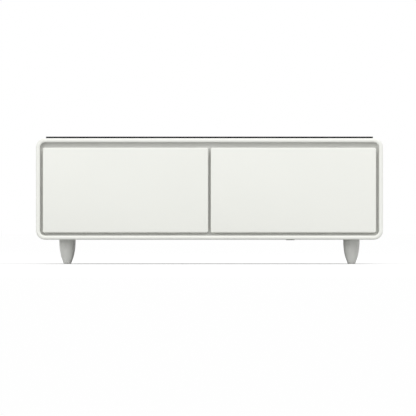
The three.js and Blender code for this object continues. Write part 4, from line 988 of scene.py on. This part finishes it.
# %% [markdown]
# ## Telescopic slides
# Each slide has three members, rolled from steel strip, and two rows of balls above and two
# below. The outer member hooks over the outer balls. The middle one cradles those and hooks over
# the inner balls, and the inner one cradles these and is screwed to the drawer. A roll bends the
# middle line of the strip, so each member's section is drawn as that line, from one ball race,
# one strip thickness and one slant.

# %% Section of the slides
SLIDE_STEEL = 1.5 * MM
SLIDE_HEIGHT = 45 * MM
RACE_RADIUS = 2.375 * MM
RACE_LINE = RACE_RADIUS + SLIDE_STEEL / 2
RACE_SLANT = 60
RACE_LIP = -15
MEMBER_STEP = 2 * MM
STRIP_FOLD = 0.85 * MM
ARC_STEP = 10
race_in = 2 * RACE_LINE * math.cos(math.radians(RACE_SLANT))
race_down = 2 * RACE_LINE * math.sin(math.radians(RACE_SLANT))
first_race = (RACE_RADIUS + SLIDE_STEEL, SLIDE_HEIGHT / 2 - RACE_RADIUS - SLIDE_STEEL)
RACES = [
    (first_race[0] + number * race_in, first_race[1] - number * race_down) for number in range(3)
]


def strip_arc(centre, start, end, radius=RACE_LINE):
    """The strip's middle line round a centre, as (across from the wall, up from the middle)."""
    steps = math.ceil(abs(end - start) / ARC_STEP)
    angles = [math.radians(start + (end - start) * step / steps) for step in range(steps + 1)]
    across, up = centre
    return [(across + radius * math.cos(a), up + radius * math.sin(a)) for a in angles]


def folded(race, web):
    """From a race down into a web that lies that far across, round a tight fold."""
    across = web + STRIP_FOLD
    drop = math.sqrt((RACE_LINE + STRIP_FOLD) ** 2 - (across - race[0]) ** 2)
    touch = math.degrees(math.atan2(-drop, across - race[0]))
    cradle = strip_arc(race, -RACE_SLANT, touch)
    return cradle + strip_arc((across, race[1] - drop), 180 + touch, 180, STRIP_FOLD)[1:]


outer_race, inner_race, last_fold = RACES
reach = (inner_race[0] - 2 * MEMBER_STEP) / (RACE_RADIUS + SLIDE_STEEL)
tip = -180 + math.degrees(math.acos(reach))
middle_web = folded(outer_race, MEMBER_STEP + SLIDE_STEEL / 2)
HALF_SECTIONS = {
    "outer": strip_arc(outer_race, RACE_LIP, 180),
    "middle": strip_arc(inner_race, RACE_LIP, 180 - RACE_SLANT) + middle_web[1:],
    "inner": strip_arc(inner_race, tip, -RACE_SLANT)
    + strip_arc(last_fold, 180 - RACE_SLANT, 0)[1:],
}
print({name: len(half) for name, half in HALF_SECTIONS.items()}, "points in each half section")

# %% [markdown]
# The section is mirrored below, pushed along the slide, and given the strip's thickness to both
# sides at once, so the bends stay true. Round and long holes for the screws are cut in turn.

# %% Slide members
SLIDE_HOLE = 5 * MM
SLIDE_HOLES = (0.06, 0.17, 0.38, 0.62, 0.83, 0.94)


def slide_wall(side, edge):
    """Which way the compartment's wall lies, and where the outer member rests on it."""
    low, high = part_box(f"{side}_drawer_outer_slide_{edge}")
    return (-1, low.x) if edge == "left" else (1, high.x)


def slide_holes(low, high, web):
    """Round holes, and long ones between them, as shares of the slide's length."""
    kinds = []
    for first, length in ((0, SLIDE_HOLE), (1, 2 * SLIDE_HOLE)):
        size = (4 * SLIDE_STEEL, length, SLIDE_HOLE)
        hole = bar("slide_hole", size, X, SLIDE_HOLE * SLOT_ROUNDING, segments=5)
        places = [
            (web, low.y + (high.y - low.y) * share, (low.z + high.z) / 2)
            for share in SLIDE_HOLES[first::2]
        ]
        kinds.append(copies(hole, "slide_holes", places))
    return joined("slide_holes", kinds)


def slide(side, member, edge):
    node = f"{side}_drawer_{member}_slide_{edge}"
    low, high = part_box(node)
    middle = (low.z + high.z) / 2
    outboard, wall = slide_wall(side, edge)
    half = HALF_SECTIONS[member]
    section = half + [(across, -up) for across, up in reversed(half)]
    points = [(wall - outboard * across, low.y, middle + up) for across, up in section]
    strip = as_mesh(curve_of(f"{side}_{member}_member_{edge}", points, cyclic=False))
    pick(strip, "EDGE", lambda part: True)
    extrude((0, high.y - low.y, 0))
    done()
    apply_modifier(strip, "SOLIDIFY", thickness=SLIDE_STEEL, offset=0, use_even_offset=True)
    outward(strip)
    carve(strip, slide_holes(low, high, wall - outboard * half[-1][0]))
    bodies = {"outer": "cabinet", "middle": f"{side}_middle_slides", "inner": f"{side}_drawer"}
    fix(strip, bodies[member], zinc_steel, [node])


for side in SIDES:
    for member in HALF_SECTIONS:
        for edge in SIDES:
            slide(side, member, edge)

# %% [markdown]
# Both rows of balls stay on the middle member, at the ends that never leave the other two. One
# ball is made, repeated in a row, and the row copied to the races above and below. Real balls are
# held by a thin cage, which the members hide.

# %% Balls
BALL_RADIUS = 2.1 * MM
BALL_PITCH = 9 * MM
BALLS = 12
BALL_FROM_END = 12 * MM


def ball_rows(side, edge):
    low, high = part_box(f"{side}_drawer_middle_slide_{edge}")
    outboard, wall = slide_wall(side, edge)
    deselect()
    bpy.ops.mesh.primitive_uv_sphere_add(
        segments=12, ring_count=8, radius=BALL_RADIUS, location=(0, 0, 0),
    )
    balls = row(bpy.context.object, BALLS, (0, BALL_PITCH, 0))
    row_middle = BALL_FROM_END + (BALLS - 1) / 2 * BALL_PITCH
    places = [
        (wall - outboard * across, y, (low.z + high.z) / 2 + way * up)
        for (across, up), y in ((outer_race, high.y - row_middle), (inner_race, low.y + row_middle))
        for way in (-1, 1)
    ]
    rows = copies(balls, f"{side}_slide_balls_{edge}", places)
    fix(rows, f"{side}_middle_slides", zinc_steel, smooth=60)


for side in SIDES:
    for edge in SIDES:
        ball_rows(side, edge)

# %% [markdown]
# ## Sensor
# A small sensor for the night light lies under the front edge: a flanged body pressed into its
# hole, with a domed lens in a dish. Dish and lens are turned from outlines that are given in
# shares of the lens's radius and the flange's thickness.

# %% Sensor
SENSOR_FLANGE = 1.4 * MM
SENSOR_LENS = 9 * MM
DISH_SHAPE = ((1, -1), (1, 0), (0.7, 0.7))
LENS_SHAPE = ((0.55, 1 / 14), (0.66, 0.3), (0.68, 0.8))


def shaped(shape, radius, height):
    return [(radius * across, height * up) for across, up in shape]


def sensor():
    low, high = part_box("night_light_sensor")
    place = upright_at("night_light_sensor", low.z)
    radius, neck = (high.x - low.x) / 2, SENSOR_HOLE - POCKET_GAP
    body = turned("sensor_body", [
        (radius - SENSOR_FLANGE / 2, 0), (radius, SENSOR_FLANGE / 2), (radius, SENSOR_FLANGE),
        (neck, SENSOR_FLANGE), (neck, high.z - low.z),
    ], place)
    carve(body, turned("dish", shaped(DISH_SHAPE, SENSOR_LENS, SENSOR_FLANGE), place))
    fix(body, "cabinet", black_plastic, ["night_light_sensor"])
    lens = turned("sensor_lens", shaped(LENS_SHAPE, SENSOR_LENS, SENSOR_FLANGE), place)
    fix(lens, "cabinet", lamp_frost)


sensor()

# %% [markdown]
# ## Back panel
# The back is a flat sheet with two fields of slots, through which the machine room breathes, and a
# gap for the mains inlet. Pan-head screws with a cross recess hold it along its top and bottom.

# %% Back panel
SLOT_WIDTH = 6 * MM
SLOT_HEIGHT = 84 * MM
SLOT_PITCH = 18 * MM
SLOT_COUNT = 7
SLOT_ROW_GAP = 22 * MM
VENT_SHARE = 0.3
PRESSED_EDGE = 0.8 * MM
INLET_BODY_INSET = 6 * MM
INLET_BODY_CORNER = 1 * MM


def vents(low, high):
    slot_size = (SLOT_WIDTH, high.y - low.y + 2 * WALL, SLOT_HEIGHT)
    slot = bar("vent", slot_size, Y, SLOT_WIDTH * SLOT_ROUNDING, segments=6)
    slots = row(slot, SLOT_COUNT, (SLOT_PITCH, 0, 0))
    sleeve_low, sleeve_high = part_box("cabinet_sleeve")
    across = VENT_SHARE * (sleeve_high.x - sleeve_low.x - 2 * WALL)
    up = (SLOT_HEIGHT + SLOT_ROW_GAP) / 2
    centre = (low + high) / 2
    return copies(slots, "vents", [
        (side * across, centre.y, centre.z + way * up) for side in (-1, 1) for way in (-1, 1)
    ])


def back_panel():
    low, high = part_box("back_panel")
    sheet = slab("rear_panel", low, high, Y, INNER_RADIUS, far=PRESSED_EDGE)
    carve(sheet, vents(low, high))
    inset = INLET_BODY_INSET - POCKET_GAP
    gap = from_front(*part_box("mains_inlet"), inset, low.y - WALL, high.y + WALL)
    carve(sheet, slab("inlet_gap", *gap, Y, INLET_BODY_CORNER, segments=3))
    fix(sheet, "cabinet", powder_coat, ["back_panel"])


back_panel()

# %% Screws
SCREW_HEAD = 4 * MM
SCREW_RISE = 1.6 * MM
SCREW_SHAPE = ((1, 0), (1, 0.4), (0.85, 0.8), (0.5, 1))
CROSS_ARM = 0.55 * SCREW_HEAD
CROSS_WIDTH = 0.12 * SCREW_HEAD
SCREW_INSET = 12 * MM
SCREW_COLUMNS = (0.03, 0.35, 0.65, 0.97)


def screw():
    """A turned head, cut by a square core whose four sides are drawn out into a cross."""
    head = turned("screw", shaped(SCREW_SHAPE, SCREW_HEAD, SCREW_RISE), sides=24)
    half = CROSS_WIDTH
    cross = block("cross", (-half, -half, SCREW_RISE / 2), (half, half, SCREW_RISE * 2))
    pick(cross, "FACE", lambda face: abs(face.normal.z) < 1 - NEARLY_ONE)
    bpy.ops.mesh.extrude_faces_move(TRANSFORM_OT_shrink_fatten={"value": CROSS_ARM - CROSS_WIDTH})
    done()
    carve(head, cross)
    return placed(head, turn=(-math.pi / 2, 0, 0))


def panel_screws():
    low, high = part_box("back_panel")
    first, last = low.x + SCREW_INSET, high.x - SCREW_INSET
    places = [
        (first + (last - first) * share, high.y, z)
        for share in SCREW_COLUMNS for z in (low.z + SCREW_INSET, high.z - SCREW_INSET)
    ]
    master = screw()
    for number, place in enumerate(places, 1):
        head = copied(master, f"rear_screw_{number}", place)
        fix(head, "cabinet", zinc_steel)
    discard(master)


panel_screws()

# %% [markdown]
# ## Mains inlet
# The inlet is a moulded socket: a flange on the panel, a body behind it and a mouth with three
# flat pins. Flange and body are joined with a Boolean union, so no faces are left inside.

# %% Mains inlet
INLET_MOUTH_INSET = 9 * MM
INLET_MOUTH_DEPTH = 17 * MM
INLET_FLANGE = 3 * MM
INLET_CORNER = 5 * MM
INLET_MOUTH_CORNER = 2 * MM
PIN_WIDTH = 2 * MM
PIN_HEIGHT = 4 * MM
PIN_CORNER = 0.5 * MM
PIN_TIP = 0.4 * MM
PIN_PLACES = ((-8 * MM, -1 * MM), (0, 2 * MM), (8 * MM, -1 * MM))


def inlet():
    low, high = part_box("mains_inlet")
    flange = from_front(low, high, 0, high.y - INLET_FLANGE, high.y)
    shell = slab("inlet_socket", *flange, Y, INLET_CORNER, far=PRESSED_EDGE)
    body_box = from_front(low, high, INLET_BODY_INSET, low.y, high.y - INLET_FLANGE / 2)
    body = slab("inlet_body", *body_box, Y, INLET_BODY_CORNER, segments=3)
    apply_modifier(shell, "BOOLEAN", object=body, operation="UNION", solver="EXACT")
    discard(body)
    bottom = high.y - INLET_MOUTH_DEPTH
    mouth = from_front(low, high, INLET_MOUTH_INSET, bottom, high.y + WALL)
    carve(shell, slab("mouth", *mouth, Y, INLET_MOUTH_CORNER, segments=4))
    fix(shell, "cabinet", black_plastic, ["mains_inlet"])


def pins():
    low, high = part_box("mains_inlet")
    root, end = high.y - INLET_MOUTH_DEPTH - PIN_WIDTH, high.y - 2 * INLET_FLANGE
    size = (PIN_WIDTH, end - root, PIN_HEIGHT)
    pin = bar("pin", size, Y, PIN_CORNER, far=PIN_TIP, segments=3)
    centre = (low + high) / 2
    for number, (across, up) in enumerate(PIN_PLACES):
        place = (centre.x + across, (root + end) / 2, centre.z + up)
        fix(copied(pin, f"inlet_pin_{number}", place), "cabinet", zinc_steel)
    discard(pin)


inlet()
pins()

# %% [markdown]
# ## Nodes that keep their shape
# What lies inside the sleeve keeps its CAD shape and only needs its finish: the machine room shows
# a little through the slots.

# %% Finishes for the kept nodes
KEPT = [
    (black_plastic, ["touch_control", "fan_motor", "fan_rotor", "drip_tray"]),
    (foam_yellow, ["insulation_foam"]),
    (mill_aluminium, ["left_evaporator", "right_evaporator", "condenser"]),
    (lamp_frost, ["left_interior_lamp", "right_interior_lamp"]),
    (enamel_black, ["compressor"]),
    (drawn_copper, ["filter_drier", "discharge_pipe", "link_pipe", "suction_pipe"]),
    (powder_coat, ["fan_bulkhead"]),
    (board_finish, ["control_board"]),
    (zinc_steel, ["compressor_rail"] + [f"leg_stud_{corner}" for corner in CORNERS]),
]
for made, nodes in KEPT:
    for node in nodes:
        wear(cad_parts[node], made)
print(sum(len(nodes) for made, nodes in KEPT), "nodes keep their shape")

# %% [markdown]
# ## Studio
# A white surround and a plain floor. The camera and everything that mirrors see both at full
# white, while what lights the table is dimmer, so pale surfaces keep their shade. One small chain
# of nodes tells these rays from the rest, in the floor's material and in the world.

# %% Rays that see white
def sees_white(made):
    """1 for a ray from the camera, from a mirroring surface or through glass, otherwise 0."""
    path = made.node("ShaderNodeLightPath").outputs
    seen = made.math("MAXIMUM", path["Is Camera Ray"], path["Is Glossy Ray"])
    return made.math("MAXIMUM", seen, path["Is Transmission Ray"])


# %% [markdown]
# The floor itself is grey, so it throws little light up under the table. A glow that lights nothing
# makes it look white. The glow is weak under the table, which paints a shadow on the floor there,
# and grows outwards from the table's outline, in two steps of (distances, strengths): the first is
# that painted shadow, the second adds a little more glow further out.

# %% Floor
FLOOR_SIZE = 160
FLOOR_DROP = 0.2 * MM
FLOOR_TONE = 0.45
# The first step dims the glow under the table, a painted shadow; the second adds glow further out.
FLOOR_GLOW_AND_PAINTED_SHADOW = [((-0.2, 0.03), (0.02, 0.5)), ((0.03, 2.5), (0, 0.12))]


def studio_floor():
    deselect()
    bpy.ops.mesh.primitive_plane_add(size=FLOOR_SIZE, location=(0, 0, -FLOOR_DROP))
    floor = bpy.context.object
    floor.name = "studio_floor"
    bpy.ops.object.transform_apply()
    made = Finish(bpy.data.materials.new("studio_floor"))
    made.fixed(
        Base_Color=(FLOOR_TONE, FLOOR_TONE, FLOOR_TONE, 1), Roughness=0.9,
        Specular_IOR_Level=0.0, Emission_Color=(1, 1, 1, 1),
    )
    spot = made.node("ShaderNodeSeparateXYZ", {"Vector": made.place()})
    past = [
        made.math("SUBTRACT", made.math("ABSOLUTE", spot.outputs[axis]), edge)
        for axis, edge in (("X", cad_box[1].x), ("Y", cad_box[1].y))
    ]
    away = made.math("MAXIMUM", *past)
    # Less glow under the table paints the floor's shadow there.
    glow_steps_with_painted_shadow = [
        made.spread(away, *strengths, *distances, interpolation_type="SMOOTHSTEP")
        for distances, strengths in FLOOR_GLOW_AND_PAINTED_SHADOW
    ]
    glow_and_painted_shadow = made.math("MULTIPLY", made.math("ADD", *glow_steps_with_painted_shadow), sees_white(made))
    made.to_shader("Emission Strength", glow_and_painted_shadow)
    wear(floor, made)


studio_floor()
print("floor:", FLOOR_SIZE, "m wide")

# %% [markdown]
# The world is white to look at, and a little weaker as a light.

# %% Surround
AMBIENT = 0.83
world = bpy.data.worlds.new("surround")
bpy.context.scene.world = world
sky = Finish(world, shader="Background")
sky.fixed(Color=(1, 1, 1, 1))
sky.to_shader("Strength", sky.spread(sees_white(sky), AMBIENT, 1, low=0, high=1))
print("surround lights at", AMBIENT)

# %% [markdown]
# Broad soft lamps model the form. They stand low at the left and high at the right, so hardly any
# of their light reaches into the narrow upright gaps, and the sleeve shades the tops of the legs.
# A weak one in front fills in, and one behind does for the back what the others do for the front.

# %% Lamps
LAMP_WIDTH = 4.8
LAMP_HEIGHT = 3.2
LAMP_AIM = Vector((0, 0, 0.25))
LAMPS = [
    ("left_lamp", (-5.8, -7.4, 2.3), 150),
    ("front_lamp", (0, -7.7, 5.9), 90),
    ("right_lamp", (4.8, -6.4, 5.6), 180),
    ("back_lamp", (1.0, 5.8, 5.0), 120),
]


def lamp(name, place, power):
    deselect()
    aim = (LAMP_AIM - Vector(place)).to_track_quat("-Z", "Y").to_euler()
    bpy.ops.object.light_add(type="AREA", location=place, rotation=aim)
    light = bpy.context.object
    light.name = name
    light.data.shape = "RECTANGLE"
    light.data.size = LAMP_WIDTH
    light.data.size_y = LAMP_HEIGHT
    light.data.energy = power


for settings in LAMPS:
    lamp(*settings)
bpy.context.scene.view_settings.view_transform = "Standard"
print(len(LAMPS), "lamps")
